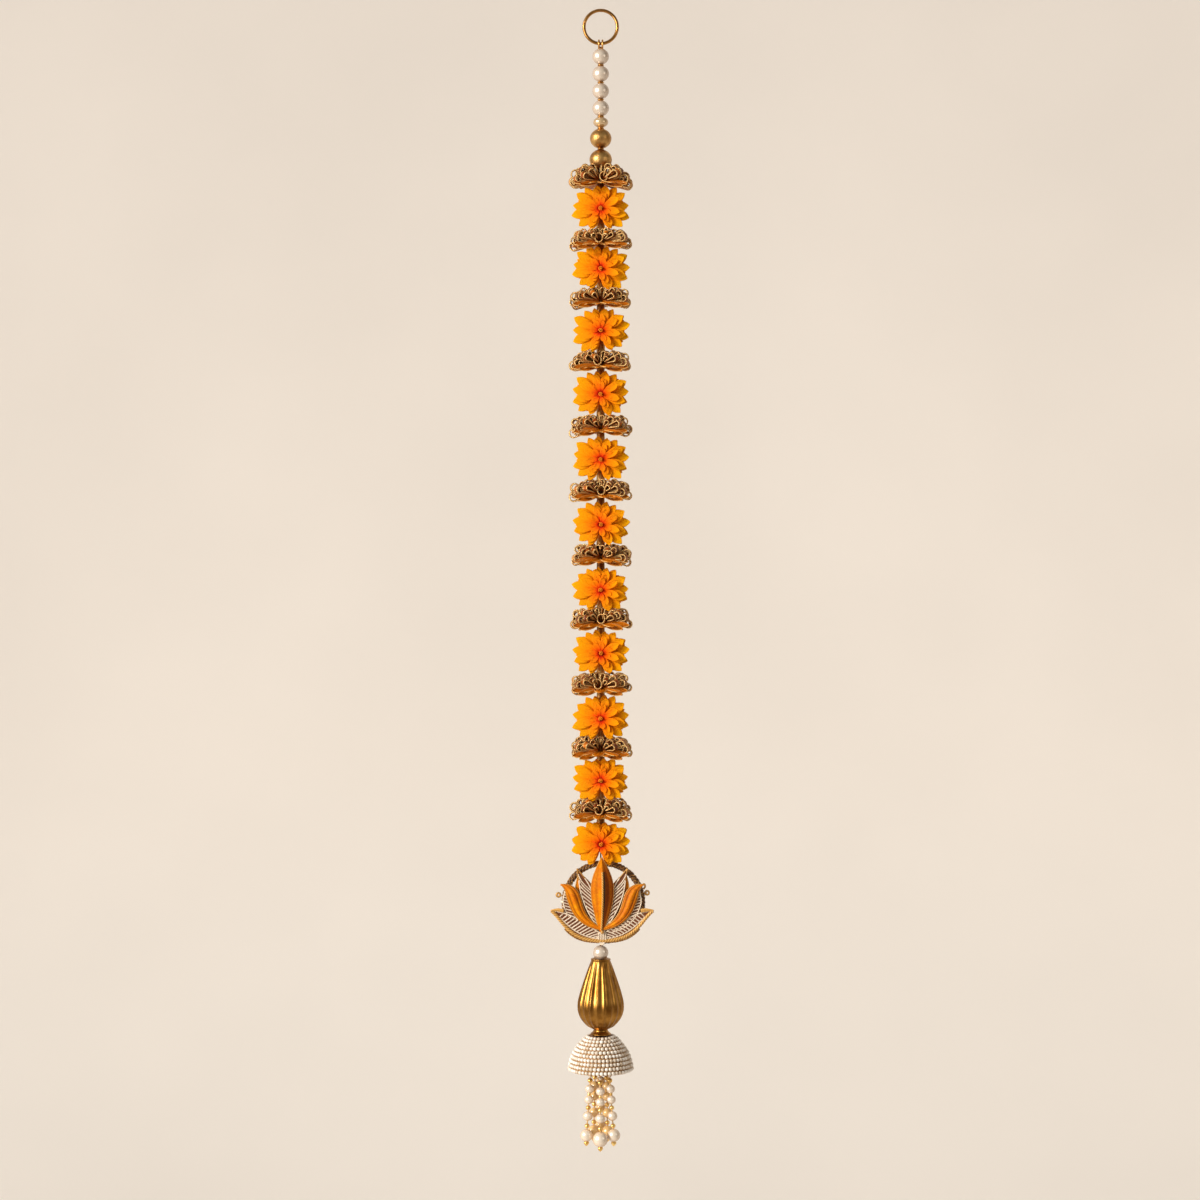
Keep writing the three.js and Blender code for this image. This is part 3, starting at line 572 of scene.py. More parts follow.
# A near-black braid whose colour paints the shadow beside the centre petal's keel.
SHADOW_BRAID = thread_work("braid_painted_shadow", (80, 46, 18), (14, 8, 2), 0.0, 0.5, 0.9)
SATIN = orange_satin()
SEED = seed_bead()
LINING = thread_work("dome_lining", (150, 104, 60), (78, 46, 20), 0.0, 0.6)
THREAD = thread_work("core_thread", (226, 190, 130), (150, 110, 60), 0.2, 0.6)


# Head of the strand


def make_ring():
    skin = Skin()
    skin.hoop((0, 0, RING_CENTRE), RING["inside"] + RING["wire"], 96, "xz", RING["wire"], 18)
    piece("hanging_ring_worn", skin, "hanging_ring", [RING_BRASS], body="ring")


def seed_heights():
    """Midway between one bead and the next."""
    beads = [(z, PEARL[1]) for z in PEARL_HEIGHTS]
    beads += [(z, half) for z, _, half in (CHAMPAGNE, *GOLD_BALLS)]
    return [(z + half + before - above) / 2 for (before, above), (z, half) in zip(beads, beads[1:])]


def frame_band_height(side):
    """Where the frame's band crosses the wire: 1 at its top, -1 at its foot."""
    return FRAME["z"] + side * sqrt(FRAME["ring"] ** 2 - FRAME["x"] ** 2)


def add_wire(skin, top, foot):
    skin.tube([(0, 0, top), (0, 0, (top + foot) / 2), (0, 0, foot)], round_section(WIRE))


def make_stringing_wire():
    """A double eye round the ring with a turn below it, the run, the seed beads and the eye at the foot."""
    skin = Skin()
    band = frame_band_height(1)
    top = RING_FOOT - RING["wire"] - 1.2
    add_wire(skin, top, band + FRAME["band"] + 0.95)
    for side in (-0.5, 0.5):
        eye = circle((0, 0, 0), 1.0, 32, "yz") * (1, TOP_EYE["wide"], TOP_EYE["high"])
        eye += (side * TOP_EYE["apart"], 0, RING_FOOT - TOP_EYE["drop"])
        skin.tube(eye, round_section(TOP_EYE["wire"], 10), closed=True)
    skin.hoop((0, 0, top - 1.3), 1.0, 20, "xy", 0.42, 7)
    skin.hoop((0, 0, band), FRAME["band"] + 0.9, 28, "yz", 0.55, 8)
    for k, z in enumerate(seed_heights()):
        skin.bead((0, 0, z), 2.7, 0.82, 22, 12, draw=chance(k, 3), bore=0.7)
    piece("stringing_wire_twisted", skin, "stringing_wire", [BRASS])


def make_bead(name, look, place, detail, paint):
    """A single bead on the wire; place is its height, radius and half length."""
    z, radius, half = place
    skin = Skin()
    skin.bead((0, 0, z), radius, half, *detail)
    piece(f"{name}_{look}", skin, name, [paint])


def make_head_beads():
    for i, z in enumerate(PEARL_HEIGHTS):
        make_bead(f"pearl_{i + 1}", "lacquered", (z, *PEARL), (44, 30), PEARL_COAT)
    make_bead("champagne_bead", "lacquered", CHAMPAGNE, (44, 26), CHAMPAGNE_COAT)
    for i, ball in enumerate(GOLD_BALLS):
        make_bead(f"gold_ball_{i + 1}", "plated", ball, (52, 34), ANTIQUE)


# Marigolds: a bloom is made lying on its back, with the viewer's side up, and then raised

REAR = {"side": 6, "spread": 118, "share": 0.85, "salt": 20, "lift": 1.0, "depth": 6.9, "slope": -0.03,
        "right": -0.04, "wide": 1.02, "cup": -0.4, "curl": -1.2, "ruffle": 0.6, "detail": (10, 7)}
EDGE = {"side": 7, "spread": 142, "share": 1.0, "salt": 0, "lift": 1.2, "depth": 7.6, "slope": -0.04,
        "right": -0.03, "wide": 1.22, "cup": 0.4, "curl": 1.2, "ruffle": 0.6, "detail": (12, 9)}
LONG = {"side": 4, "spread": 130, "share": 0.9, "salt": 60, "lift": 1.2, "depth": 8.4, "slope": -0.03,
        "right": 0.03, "wide": 0.72, "cup": 0.7, "curl": 1.6, "ruffle": 0.8, "detail": (12, 9)}
TONGUES = {"side": 4, "spread": 136, "share": 0.68, "salt": 100, "lift": 1.6, "depth": 9.0, "slope": -0.01,
           "right": 0.2, "wide": 0.66, "cup": 0.9, "curl": 2.0, "ruffle": 1.6, "detail": (12, 9)}
HEART_PETALS = 7


def bloom_reach(angle):
    """How far a bloom reaches, a little further above."""
    wide, high = BLOOM_REACH
    return box_reach(angle, wide, high / (1 - 0.04 * sin(angle)), BLOOM_POWER)


def fanned(seed, layer):
    """(angle, reach, half angle, lift) of petals fanned to both sides."""
    side, salt = layer["side"], layer["salt"]
    step = radians(layer["spread"]) / (side - 1)
    for i in range(2 * side):
        place = i % side - (side - 1) / 2
        raised = LEAN_UP if i < side else -LEAN_UP
        angle = (0 if i < side else pi) + place * step + raised + (chance(seed, salt + i) - 0.5) * 0.07
        reach = bloom_reach(angle) * layer["share"] * (0.93 + 0.09 * chance(seed, salt + i + 20))
        yield angle, reach, step * 0.44, (chance(seed, salt + i + 40) - 0.5) * layer["lift"]


def petal_width(v, point):
    """Half width along a petal: fullest past the middle, with a rounded lancet tip."""
    fullest = 0.64
    body = 0.36 + 0.64 * risen(v / fullest)
    tip = np.clip((v - fullest) / (1 - fullest), 0, 1)
    return np.maximum(body * (1 - tip**point) ** 0.85, 0.05)


def add_petal(skin, angle, reach, root, half, height, detail, cup, curl, twist, point, draw, lift=0.0,
              crease=0.25):
    """A petal from root to reach; height is its depth and slope, and detail its rows and columns."""
    depth, slope = height
    rows, columns = detail
    v = risen(np.linspace(0, 1, rows))[:, None]
    u = np.linspace(-1, 1, columns)[None]
    r = root + (reach - root) * v
    width = half * petal_width(v, point)
    x = cos(angle) * r - sin(angle) * u * width
    y = sin(angle) * r + cos(angle) * u * width
    fold = crease * np.exp(-((u / 0.22) ** 2)) * np.sin(np.clip(v * 1.1, 0, 1) * pi)
    bowl = cup * u**2 * petal_width(v, point)
    z = depth + slope * r + lift * v + curl * v**3 + bowl + twist * u * v - fold
    skin.sheet(together(x, y, z), CLOTH, together(np.hypot(x, y) / DYE_REACH, u, draw))


def calm(angle):
    """The petals to the left lie flush; those to the right are ruffled."""
    return 0.16 + 0.84 * float(smooth(cos(angle), -0.5, 0.5))


def add_fan(skin, seed, layer, blunt):
    tilt = 0.16 * (chance(seed, 77) - 0.5)
    for i, (angle, reach, half_angle, lift) in enumerate(fanned(seed, layer)):
        angle += tilt
        draws = chances(seed + 31, layer["salt"] + 7 * i, 6)
        free = calm(angle)
        slope = layer["slope"] + layer["right"] * max(cos(angle), 0)
        add_petal(
            skin, angle, reach, root=2.2, half=reach * 0.8 * tan(half_angle) * layer["wide"],
            height=(layer["depth"] + 0.22 * (i % 2), slope), detail=layer["detail"],
            lift=(lift + layer["ruffle"] * (draws[5] - 0.4)) * free,
            cup=layer["cup"] * (0.4 + draws[0]) * free, curl=layer["curl"] * (draws[1] - 0.35) * free,
            twist=1.8 * (draws[2] - 0.5) * free, point=1.9 + 0.5 * draws[3] + blunt,
            crease=0.12 + 0.16 * free, draw=draws[4],
        )


def add_heart(skin, seed):
    """Short petals round the roll."""
    for i in range(HEART_PETALS):
        draws = chances(seed + 57, 9 * i, 5)
        angle = (i + 0.5) * TAU / HEART_PETALS + (draws[0] - 0.5) * 0.3
        add_petal(skin, angle, 9.6 * (0.86 + 0.24 * draws[1]), root=1.8, half=2.5, height=(9.7, 0.06),
                  detail=(9, 7), cup=0.4, curl=1.2 * draws[2] * calm(angle), twist=draws[3] - 0.5, point=1.9,
                  draw=draws[4])


def add_roll(skin, seed):
    """The rolled petal in the middle of the bloom."""
    turns = np.linspace(0, 1.7 * TAU, 44)[None]
    up = np.linspace(0, 1, 6)[:, None]
    share = turns / turns.max()
    radius = (0.25 + 1.75 * share) * (1 - 0.16 * up**2)
    start = chance(seed, 5) * TAU
    rows = together(np.cos(turns + start) * radius, np.sin(turns + start) * radius,
                    9.4 + (3.5 - 1.5 * share**2) * up)
    skin.sheet(rows, CLOTH, together(up**0.6 * (1 - 0.35 * share), 0, 0.5), kind=1)


def add_boss(skin):
    """Gathered cloth behind the petals, round the wire."""
    back, front, count, levels = (BOSS[key] for key in ("back", "front", "turns", "levels"))
    height = np.linspace(0, 1, levels)[:, None]
    turn = around(count)[None]
    swell = 0.72 + 0.28 * risen(height * 1.25)
    folds = 1 - 0.06 * np.abs(np.sin(turn * 9)) * (1 - 0.4 * height)
    rows = together(np.cos(turn) * BOSS["x"] * swell * folds, np.sin(turn) * BOSS["y"] * swell * folds,
                    back + (front - back) * height)
    facts = together(0.22 + 0.25 * height, np.sin(turn * 9), 0.3)
    first = skin.grid(rows, facts, ring=True)
    skin.close_end(first, count, (0, 0, back), facts[0, 0], 0, True)
    skin.close_end(first + (levels - 1) * count, count, (0, 0, front), facts[-1, 0], 0, False)


def add_floor(skin):
    """The gathered roots of the petals, under the roll."""
    profile = np.array([(6.2, 9.9), (4.4, 9.8), (3.0, 9.6), (1.0, 9.5), (1.0, 9.0), (4.0, 9.1), (6.0, 9.3)])
    radius, depth = profile[:, :1], profile[:, 1:]
    turn = around(28)
    facts = together(radius / BLOOM_REACH[0] * 0.6, 0, 0.5)
    skin.grid(together(np.cos(turn) * radius, np.sin(turn) * radius, depth), facts, ring=True, loop=True)


def make_bloom(number, z):
    skin = Skin()
    for layer in (REAR, EDGE, LONG, TONGUES):
        add_fan(skin, number, layer, 0.9 if number == 11 else 0.0)
    add_heart(skin, number)
    add_floor(skin)
    add_roll(skin, number)
    add_boss(skin)
    skin.move(lambda p: np.stack([p[:, 0], -p[:, 2], p[:, 1] + z], -1))
    piece(f"marigold_{number:02d}_petals", skin, f"marigold_{number:02d}", [PETAL, BUD])


# Gold ribbon flowers

# Half of the ribbon's section, with a cord along its edge; the other half is the same, turned
HALF_SECTION = [(-1.0, 0.6), (-1.24, 0.0), (-1.0, -0.6), (-0.74, -0.2), (0.74, -0.2)]
RIBBON_SECTION = np.array(HALF_SECTION + [(-x, -y) for x, y in HALF_SECTION])
# Fans of loops in the plane of the garland: depth of the fan, its directions and how far it tilts forward
FANS = [
    {"y": 3.4, "turns": (2, 178), "count": 9, "share": 1.0, "tilt": -14},
    {"y": -1.6, "turns": (-3, 183), "count": 10, "share": 1.0, "tilt": 6},
    {"y": -5.0, "turns": (6, 46), "count": 3, "share": 0.9, "tilt": 20},
    {"y": -5.0, "turns": (134, 174), "count": 3, "share": 0.9, "tilt": 20},
    {"y": -7.0, "turns": (24, 52), "count": 2, "share": 0.72, "tilt": 34},
    {"y": -7.0, "turns": (128, 156), "count": 2, "share": 0.72, "tilt": 34},
]
FANS_WITH_INNER_LOOPS = 4
# Loops round the back: how many, how far they rise and their length
BACK = [{"count": 7, "lift": 24, "length": 18.6}, {"count": 8, "lift": 2, "length": 21.0}]
FAN_WIDE = 23.0
FAN_HIGH = 10.8
TOP_FAN_HIGH = 14.0
FAN_POWER = 3.0
SATIN_LEAVES = 8
SATIN_THICK = 0.45


def add_loop(skin, root, ahead, side, length, half_height, half_width, draw):
    """A ribbon folded back on itself: out, round the end and back; side is the way of its width."""
    ahead, side = (unit(np.asarray(way, float)) for way in (ahead, side))
    up = np.cross(ahead, side)
    out = np.linspace(0, 1, 5)
    bend = np.linspace(-pi / 2, pi / 2, 9)[1:-1]
    end = half_height * 0.9
    straight = length - end
    along = np.concatenate([straight * out, straight + np.cos(bend) * end, straight * out[::-1]])
    open_by = half_height * (0.1 + 0.9 * out**1.2)
    rise = np.concatenate([-open_by, np.sin(bend) * half_height, open_by[::-1]])
    share = np.concatenate([out, np.ones_like(bend), out[::-1]])
    path = np.asarray(root) + along[:, None] * ahead + rise[:, None] * up
    skin.tube(path, RIBBON_SECTION * (half_width, 1.0), side=side, draw=draw,
              widen=0.35 + 0.65 * smooth(share, 0, 0.8))


def add_fan_of_loops(skin, seed, f, z, high):
    fan = FANS[f]
    first, last = fan["turns"]
    step = (last - first) / (fan["count"] - 1)
    for i in range(fan["count"]):
        draws = chances(seed + 83, 60 * f + 5 * i, 5)
        turn = radians(first + i * step + (draws[0] - 0.5) * step * 0.7)
        tilt = radians(fan["tilt"] + 14 * (draws[1] - 0.5))
        ahead = (cos(turn) * cos(tilt), -sin(tilt), sin(turn) * cos(tilt))
        side = (0.5 * (draws[4] - 0.5), -cos(tilt), -0.3 * (draws[3] - 0.5))
        side = np.cross(np.cross(ahead, side), ahead)
        length = box_reach(turn, FAN_WIDE, high, FAN_POWER) * fan["share"] * (0.86 + 0.14 * draws[2])
        half = 0.75 + 0.105 * length * (0.8 + 0.4 * draws[3])
        root = (cos(turn) * 2.4, fan["y"], z - 1.8 + sin(turn))
        add_loop(skin, root, ahead, side, length, half, 2.2, draws[2])
        if length > 15 and f < FANS_WITH_INNER_LOOPS:
            add_loop(skin, root, ahead, side, 0.82 * length, 0.46 * half, 1.8, draws[3])


def add_back_loops(skin, seed, t, z):
    tier = BACK[t]
    for i in range(tier["count"]):
        draws = chances(seed + 47, 40 * t + 5 * i, 4)
        angle = radians(8 + 164 * (i + 0.25 + 0.5 * draws[0]) / tier["count"])
        lift = radians(tier["lift"] + 10 * (draws[1] - 0.5))
        ahead = (cos(angle) * cos(lift), sin(angle) * cos(lift), sin(lift))
        side = (-sin(angle), cos(angle), 0.6 * (draws[2] - 0.5))
        root = (cos(angle) * 2.6, sin(angle) * 2.6 + 0.6, z - 0.6)
        add_loop(skin, root, ahead, side, tier["length"] * (0.9 + 0.1 * draws[3]), 2.5, 2.3, draws[2])


def add_curl(skin, seed, z):
    """A ring of ribbon that shows its hole to the front."""
    turn = around(26)
    x = (chance(seed, 8) - 0.5) * 5
    path = together(x + np.cos(turn) * 3.0, -10.5 + 0.8 * np.sin(turn), z + 1.0 + np.sin(turn) * 3.7)
    skin.tube(path, RIBBON_SECTION * (1.5, 1.0), closed=True, side=(0, 1, 0), draw=0.4)


def leaf_grid(rows):
    """v from root to tip, closer toward the tip, and u across a satin leaf."""
    return risen(np.linspace(0, 1, rows))[:, None], np.linspace(-1, 1, 17)[None]


def leaf_ridges(v, u, height):
    return height * np.cos(u * pi * 4) * np.sin(v * pi * 0.9)


def leaf_body(v, root, fullest):
    """Width from a narrow root to the fullest place, before the tip is rounded off."""
    return root + (1 - root) * risen(v / fullest)


def add_satin_leaf(skin, centre, angle, reach, half, slope, draw):
    v, u = leaf_grid(8)
    r = 3.0 + (reach - 3.0) * v
    width = half * leaf_body(v, 0.25, 0.7) * np.clip(1.02 - v**4, 0.05, 1) ** 0.6
    r = r - 1.6 * u**2 * smooth(v, 0.6, 1.0)
    rows = together(cos(angle) * r - sin(angle) * u * width,
                    sin(angle) * r + cos(angle) * u * width,
                    slope * r - 0.6 * u**2 * v + leaf_ridges(v, u, 0.3)) + np.asarray(centre)
    skin.sheet(rows, SATIN_THICK, together(r, u, draw), kind=1)


def add_front_leaf(skin, seed, i, z):
    """A satin leaf at the lower front that turns its face to the viewer."""
    draws = chances(seed + 19, 9 * i, 4)
    way = -1 if i % 2 else 1
    pair = i // 2
    drop = radians(-7 - 8 * pair - 4 * draws[0])
    ahead = unit(np.array([way * cos(drop), -(0.16 + 0.22 * pair), sin(drop)]))
    across = unit(np.cross(ahead, (0, 0.75, -0.66)) * way)
    outward = np.cross(across, ahead) * way
    reach = 23.4 - 3.0 * pair - 2.0 * draws[1]
    v, u = (part[..., None] for part in leaf_grid(10))
    width = 3.5 * leaf_body(v, 0.3, 0.62) * np.clip(1.02 - v**5, 0.04, 1) ** 0.7
    ridge = leaf_ridges(v, u, 0.28) - 1.3 * u**2 * v
    root = np.array([way * 1.6, -9.6 - 1.0 * pair, z - 2.2 - 0.9 * pair])
    rows = root + ahead * (reach - 1.6) * v + across * width * u + outward * ridge
    skin.sheet(rows, SATIN_THICK, together(reach * v, u, draws[2])[..., 0, :], kind=1)


def add_hub(skin, z, tail):
    """The long gold bead that carries the flower; its tail reaches down to the bloom's boss."""
    profile = [(BORE, HUB_TOP), (2.2, HUB_TOP), (HUB_RADIUS, 3.0), (HUB_RADIUS, 0), (2.2, -2.2), (2.6, -3.2),
               (3.05, -4.6), (3.3, -0.45 * tail), (3.25, -0.72 * tail), (2.6, 1.1 - tail), (1.9, 0.1 - tail),
               (BORE, -tail)]
    # Kind 2 is the darker hub gold, which paints the hub's shade.
    skin.turned(profile, 26, (0, 0, z), kind=2)


def make_ribbon_flower(number, z, tail):
    skin = Skin()
    for f in range(len(FANS)):
        add_fan_of_loops(skin, number, f, z, TOP_FAN_HIGH if number == 1 else FAN_HIGH)
    for t in range(len(BACK)):
        add_back_loops(skin, number, t, z)
    if chance(number, 9) < 0.5:
        add_curl(skin, number, z)
    phase = chance(number, 7) * pi + 0.2
    for layer in range(2):
        for i in range(SATIN_LEAVES):
            angle = phase + (i + layer / 2) * TAU / SATIN_LEAVES
            front, back = (float(smooth(way * sin(angle), 0.1, 0.8)) for way in (-1, 1))
            slope = -0.12 - 0.04 * front + 0.12 * back
            add_satin_leaf(skin, (0, 0, z - 1.5 - 0.5 * layer), angle, 23.6 - 0.9 * layer, 5.4, slope,
                           chance(number, 90 + i))
    for i in range(4):
        add_front_leaf(skin, number, i, z)
    add_hub(skin, z, tail)
    piece(f"ribbon_flower_{number:02d}_loops", skin, f"ribbon_flower_{number:02d}",
          [RIBBON, AMBER, SHADED_HUB_GOLD])


def make_long_bead(number, middle, length):
    half = length / 2
    share = np.linspace(-1, 1, 15)
    radius = 1.9 + 1.5 * np.clip(1 - np.abs(share) ** 2.6, 0, 1) ** 0.8
    profile = [(BORE, half)] + [(r, -s * half) for r, s in zip(radius, share)] + [(BORE, -half)]
    skin = Skin()
    skin.turned(profile, 26, (0, 0, middle))
    piece(f"gold_bead_{number:02d}_plated", skin, f"gold_bead_{number:02d}", [ANTIQUE])


def make_flowers():
    z = FIRST_FLOWER
    for i in range(0, len(FLOWER_STEPS), 2):
        number = i // 2 + 1
        make_ribbon_flower(number, z, FLOWER_STEPS[i] - BOSS["half"] - GAP)
        z -= FLOWER_STEPS[i]
        make_bloom(number, z)
        if i + 1 < len(FLOWER_STEPS):
            length = FLOWER_STEPS[i + 1] - BOSS["half"] - HUB_TOP - 2 * GAP
            make_long_bead(number, z - BOSS["half"] - GAP - length / 2, length)
            z -= FLOWER_STEPS[i + 1]


# Lotus pendant


class Leaf:
    """A petal in the plane of the pendant, along a curved rib from base to tip."""

    def __init__(self, base, bend, tip, width, fullest, mirrored=False, hook=(0, 0)):
        flip = (lambda p: (2 * LOTUS_AXIS - p[0], p[1])) if mirrored else (lambda p: p)
        self.base, self.bend, self.tip = (np.array(flip(p), float) for p in (base, bend, tip))
        self.hook = np.array([-hook[0] if mirrored else hook[0], hook[1]], float)
        self.width, self.fullest, self.mirrored = width, fullest, mirrored

    def swell(self, t):
        skew = np.where(t < self.fullest, t / self.fullest, 1 + (t - self.fullest) / (1 - self.fullest))
        return 0.16 * (1 - t) + np.sin(skew * pi / 2) * (1 - 0.16 * (1 - t))

    def at(self, t, u, front):
        """Points at t along the rib, u across, +1 being the outer or lower edge, and y at front."""
        k = t[..., None]
        rib = (1 - k) ** 2 * self.base + 2 * k * (1 - k) * self.bend + k**2 * self.tip
        rib = rib + self.hook * k**HOOK_POWER
        ahead = 2 * (1 - k) * (self.bend - self.base) + 2 * k * (self.tip - self.bend)
        ahead = unit(ahead + self.hook * HOOK_POWER * k ** (HOOK_POWER - 1))
        across = np.stack([-ahead[..., 1], ahead[..., 0]], -1) * (-1 if self.mirrored else 1)
        half = np.maximum(self.width * self.swell(t), 0.3)
        flat = rib + across * (half * u)[..., None]
        return together(flat[..., 0], front, flat[..., 1])


def add_leaf(skin, leaf, depth, sheet, puff, keel=0.0, groove=0.0, shade=0.0, lean=0.0, painted_right_shade=0.0,
             detail=(26, 15)):
    """A padded petal; its draw carries painted shade in its folds and along its borders and, if asked, over
    its right half. Lean bends it forward.
    """
    rows, columns = detail
    t, u = np.meshgrid(np.linspace(0, 1, rows), np.linspace(-1, 1, columns), indexing="ij")
    swell = leaf.swell(t)
    edge = np.abs(u)
    fold = np.exp(-(((edge - 0.5) / 0.14) ** 2)) * swell
    rise = puff * (1 - edge**2.4) * swell + keel * (1 - edge) * swell**2 - groove * fold
    bow = lean * t**3
    front = leaf.at(t, u, depth - sheet - rise - bow)
    back = leaf.at(t, u, depth - bow)
    # Painted shade: darker in the folds, along the borders and over the right half, away from the light.
    painted_darkening = shade * (0.7 * fold + edge**6) + painted_right_shade * smooth(-u, 0, 0.2) * (1 - 0.35 * edge)
    facts = together(t * 30, u, np.clip(1 - painted_darkening, 0, 1) if shade else 0.4)
    if leaf.mirrored:
        front, back = back, front
    skin.slab(front, back, facts)


def edge_rope(skin, leaf, u, front, span, radius, pitch, strands=2, **settings):
    """A cord along a petal at u across; front is its y, or a function of how far along it is."""
    t = np.linspace(*span, 60)
    path = resampled(leaf.at(t, u, front(t) if callable(front) else front), 0.3)
    rope(skin, path, radius, pitch, strands, **settings)


def add_piping(skin, leaf, front, start, kind):
    for u in (-1, 1):
        edge_rope(skin, leaf, u, front, (start, 1), 0.42, 1.2, kind=kind)


def on_frame(turn, out, y):
    """The point at that turn and distance from the middle of the frame's ring."""
    return (FRAME["x"] + cos(turn) * out, y, FRAME["z"] + sin(turn) * out)


def add_frame_wraps(skin):
    """Silver thread wound round the frame at either side, a little slanted."""
    ring = circle((0, 0, 0), 2.75, 18, "xy")
    outward, backward = ring[:, :1], ring[:, 1:2]
    for first, last in ((173, 208), (-30, -6)):
        for degrees in np.arange(first, last, 7.0):
            turn = radians(degrees)
            out = np.array([cos(turn), 0, sin(turn)])
            slant = 0.25 * np.array([out[2], 0, -out[0]])
            wrap = outward * out + backward * np.array([0, 1, 0]) + outward * slant
            path = np.array(on_frame(turn, FRAME["ring"], 0)) + wrap
            skin.tube(path, round_section(0.55, 7), kind=2, closed=True, draw=chance(degrees, 3))


def add_frame_beads(skin):
    """Small gold beads scattered over the front of the frame, at its top and sides."""
    for i in range(250):
        turn = (-30 + 0.9 * i) * TAU / 360
        tilt = chance(i, 11) * TAU
        spot = on_frame(turn, FRAME["ring"] + 2.3 * cos(tilt), -abs(2.3 * sin(tilt)))
        skin.bead(spot, 0.6, 0.55, 8, 5, kind=1, draw=chance(i, 12))


def add_side_rings(skin):
    """A small gold ring on a stub at either side, and a curl of gold cord above the right one."""
    for degrees, out in ((171, 36.4), (12, 35.6)):
        turn = radians(degrees)
        near, spot = on_frame(turn, FRAME["ring"] + 1.5, -0.2), on_frame(turn, out, -0.2)
        skin.hoop(spot, 1.55, 24, "xz", 0.8, 8, kind=1)
        skin.tube(resampled([near, spot], 0.5), round_section(0.5), kind=1)
    curl = [(32.0, -0.9, -701.5), (33.4, -1.1, -699.6), (33.0, -1.2, -697.6), (31.6, -1.2, -697.4)]
    path = resampled([(FRAME["x"] + x, y, z) for x, y, z in curl], 0.5)
    skin.tube(path, round_section(0.75), kind=1)


def make_frame():
    skin = Skin()
    ring = circle((FRAME["x"], 0, FRAME["z"]), FRAME["ring"], 620)
    rope(skin, ring, 2.5, 3.0, 4, closed=True, count=24, bulge=0.3)
    add_frame_wraps(skin)
    add_frame_beads(skin)
    add_side_rings(skin)
    piece("lotus_frame_cord", skin, "lotus_frame", [FRAME_CORD, GOLD_CORD, SILVER])


def make_rear_petals():
    skin = Skin()
    for mirrored in (False, True):
        leaf = Leaf((0.6, -733), (-10.5, -714), (-17.2, -688), 7.2, 0.68, mirrored)
        # Painted shade in the folds and along the borders.
        add_leaf(skin, leaf, REAR_DEPTH, 0.5, 0.5, shade=0.5)
        add_piping(skin, leaf, REAR_DEPTH - 0.5, 0.3, kind=1)
    piece("lotus_rear_satin", skin, "lotus_rear_petals", [SATIN, GOLD_CORD])


def add_threads(skin, leaf, front, count, span, leans, reach, radius):
    """Thick silver threads side by side across a petal; span, leans and reach run from first to last."""
    inner, outer = reach
    for i in range(count):
        share = i / (count - 1)
        u = np.linspace(inner, outer, 9)
        lean = leans[0] + (leans[1] - leans[0]) * share
        t = span[0] + (span[1] - span[0]) * share + lean * (u - inner) / (outer - inner)
        tone = 0.75 + 0.25 * chance(i, 71 * leaf.width)
        rope(skin, resampled(leaf.at(t, u, front), 0.4), radius, 1.5, kind=1, count=8, bulge=0.14, tone=tone)


def add_striped_leaf(skin, leaf, depth):
    """An inner silver petal: threads slant from its inner up to its outer border; the tip stays plain."""
    front = depth - 0.75
    add_leaf(skin, leaf, depth, 0.5, 0.25)
    for u in (-0.98, 0.98):
        edge_rope(skin, leaf, u, front, (0.03, 0.84), 0.58, 1.3, kind=1)
        edge_rope(skin, leaf, u, front, (0.82, 1), 0.5, 1.3, kind=2, tone=0.7)
    add_threads(skin, leaf, front - 0.1, 10, (0.0, 0.63), (0.18, 0.3), (-0.86, 0.86), 0.56)


def add_bowl_petal(skin, leaf, depth):
    """The outer silver petal: crossing threads, a silver inner border and a gold outer piping."""
    front = depth - 0.7
    add_leaf(skin, leaf, depth, 0.5, 0.25)
    edge_rope(skin, leaf, -0.98, front, (0.02, 1), 0.6, 1.3, kind=1)
    edge_rope(skin, leaf, 0.84, front, (0.02, 1), 1.5, 2.2, 3, kind=2, count=14)
    edge_rope(skin, leaf, 1.14, front + 0.3, (0.04, 0.68), 0.95, 2.0, kind=2, tone=0.4)
    edge_rope(skin, leaf, 0.46, front, (0.06, 0.9), 0.5, 1.3, kind=1)
    add_threads(skin, leaf, front - 0.1, 14, (0.02, 0.84), (0.16, 0.02), (-0.86, 0.4), 0.58)


def add_backing(skin, leaf):
    """The silver petal behind: a thread border and short threads at its outer edge."""
    add_leaf(skin, leaf, SILVER_DEPTH + 0.55, 0.5, 0.1)
    edge_rope(skin, leaf, 0.97, SILVER_DEPTH - 0.1, (0.1, 0.93), 0.6, 1.3, kind=1)
    add_threads(skin, leaf, SILVER_DEPTH - 0.2, 16, (0.12, 0.9), (0.06, 0.06), (0.35, 0.9), 0.5)


def add_flared_tip(skin, leaf, depth):
    """The thin gold and cream point in which the bowl ends at either side, nearly level on top."""
    flip = (lambda x: 2 * LOTUS_AXIS - x) if leaf.mirrored else (lambda x: x)
    for lower, tone, front in ((0.0, 1.0, -1.3), (1.3, 0.6, -1.0)):
        line = [(-40.2, -718.0), (-37.4, -717.5 - 0.5 * lower), (-34.0, -717.1 - 0.9 * lower),
                (-29.6, -717.8 - lower)]
        path = resampled([(flip(x), depth + front, z) for x, z in line], 0.4)
        narrow = np.sin(np.linspace(0.16, pi / 2, len(path))) ** 0.7
        skin.tube(path, round_section(0.95, 10) * narrow[:, None, None], kind=2, draw=tone)


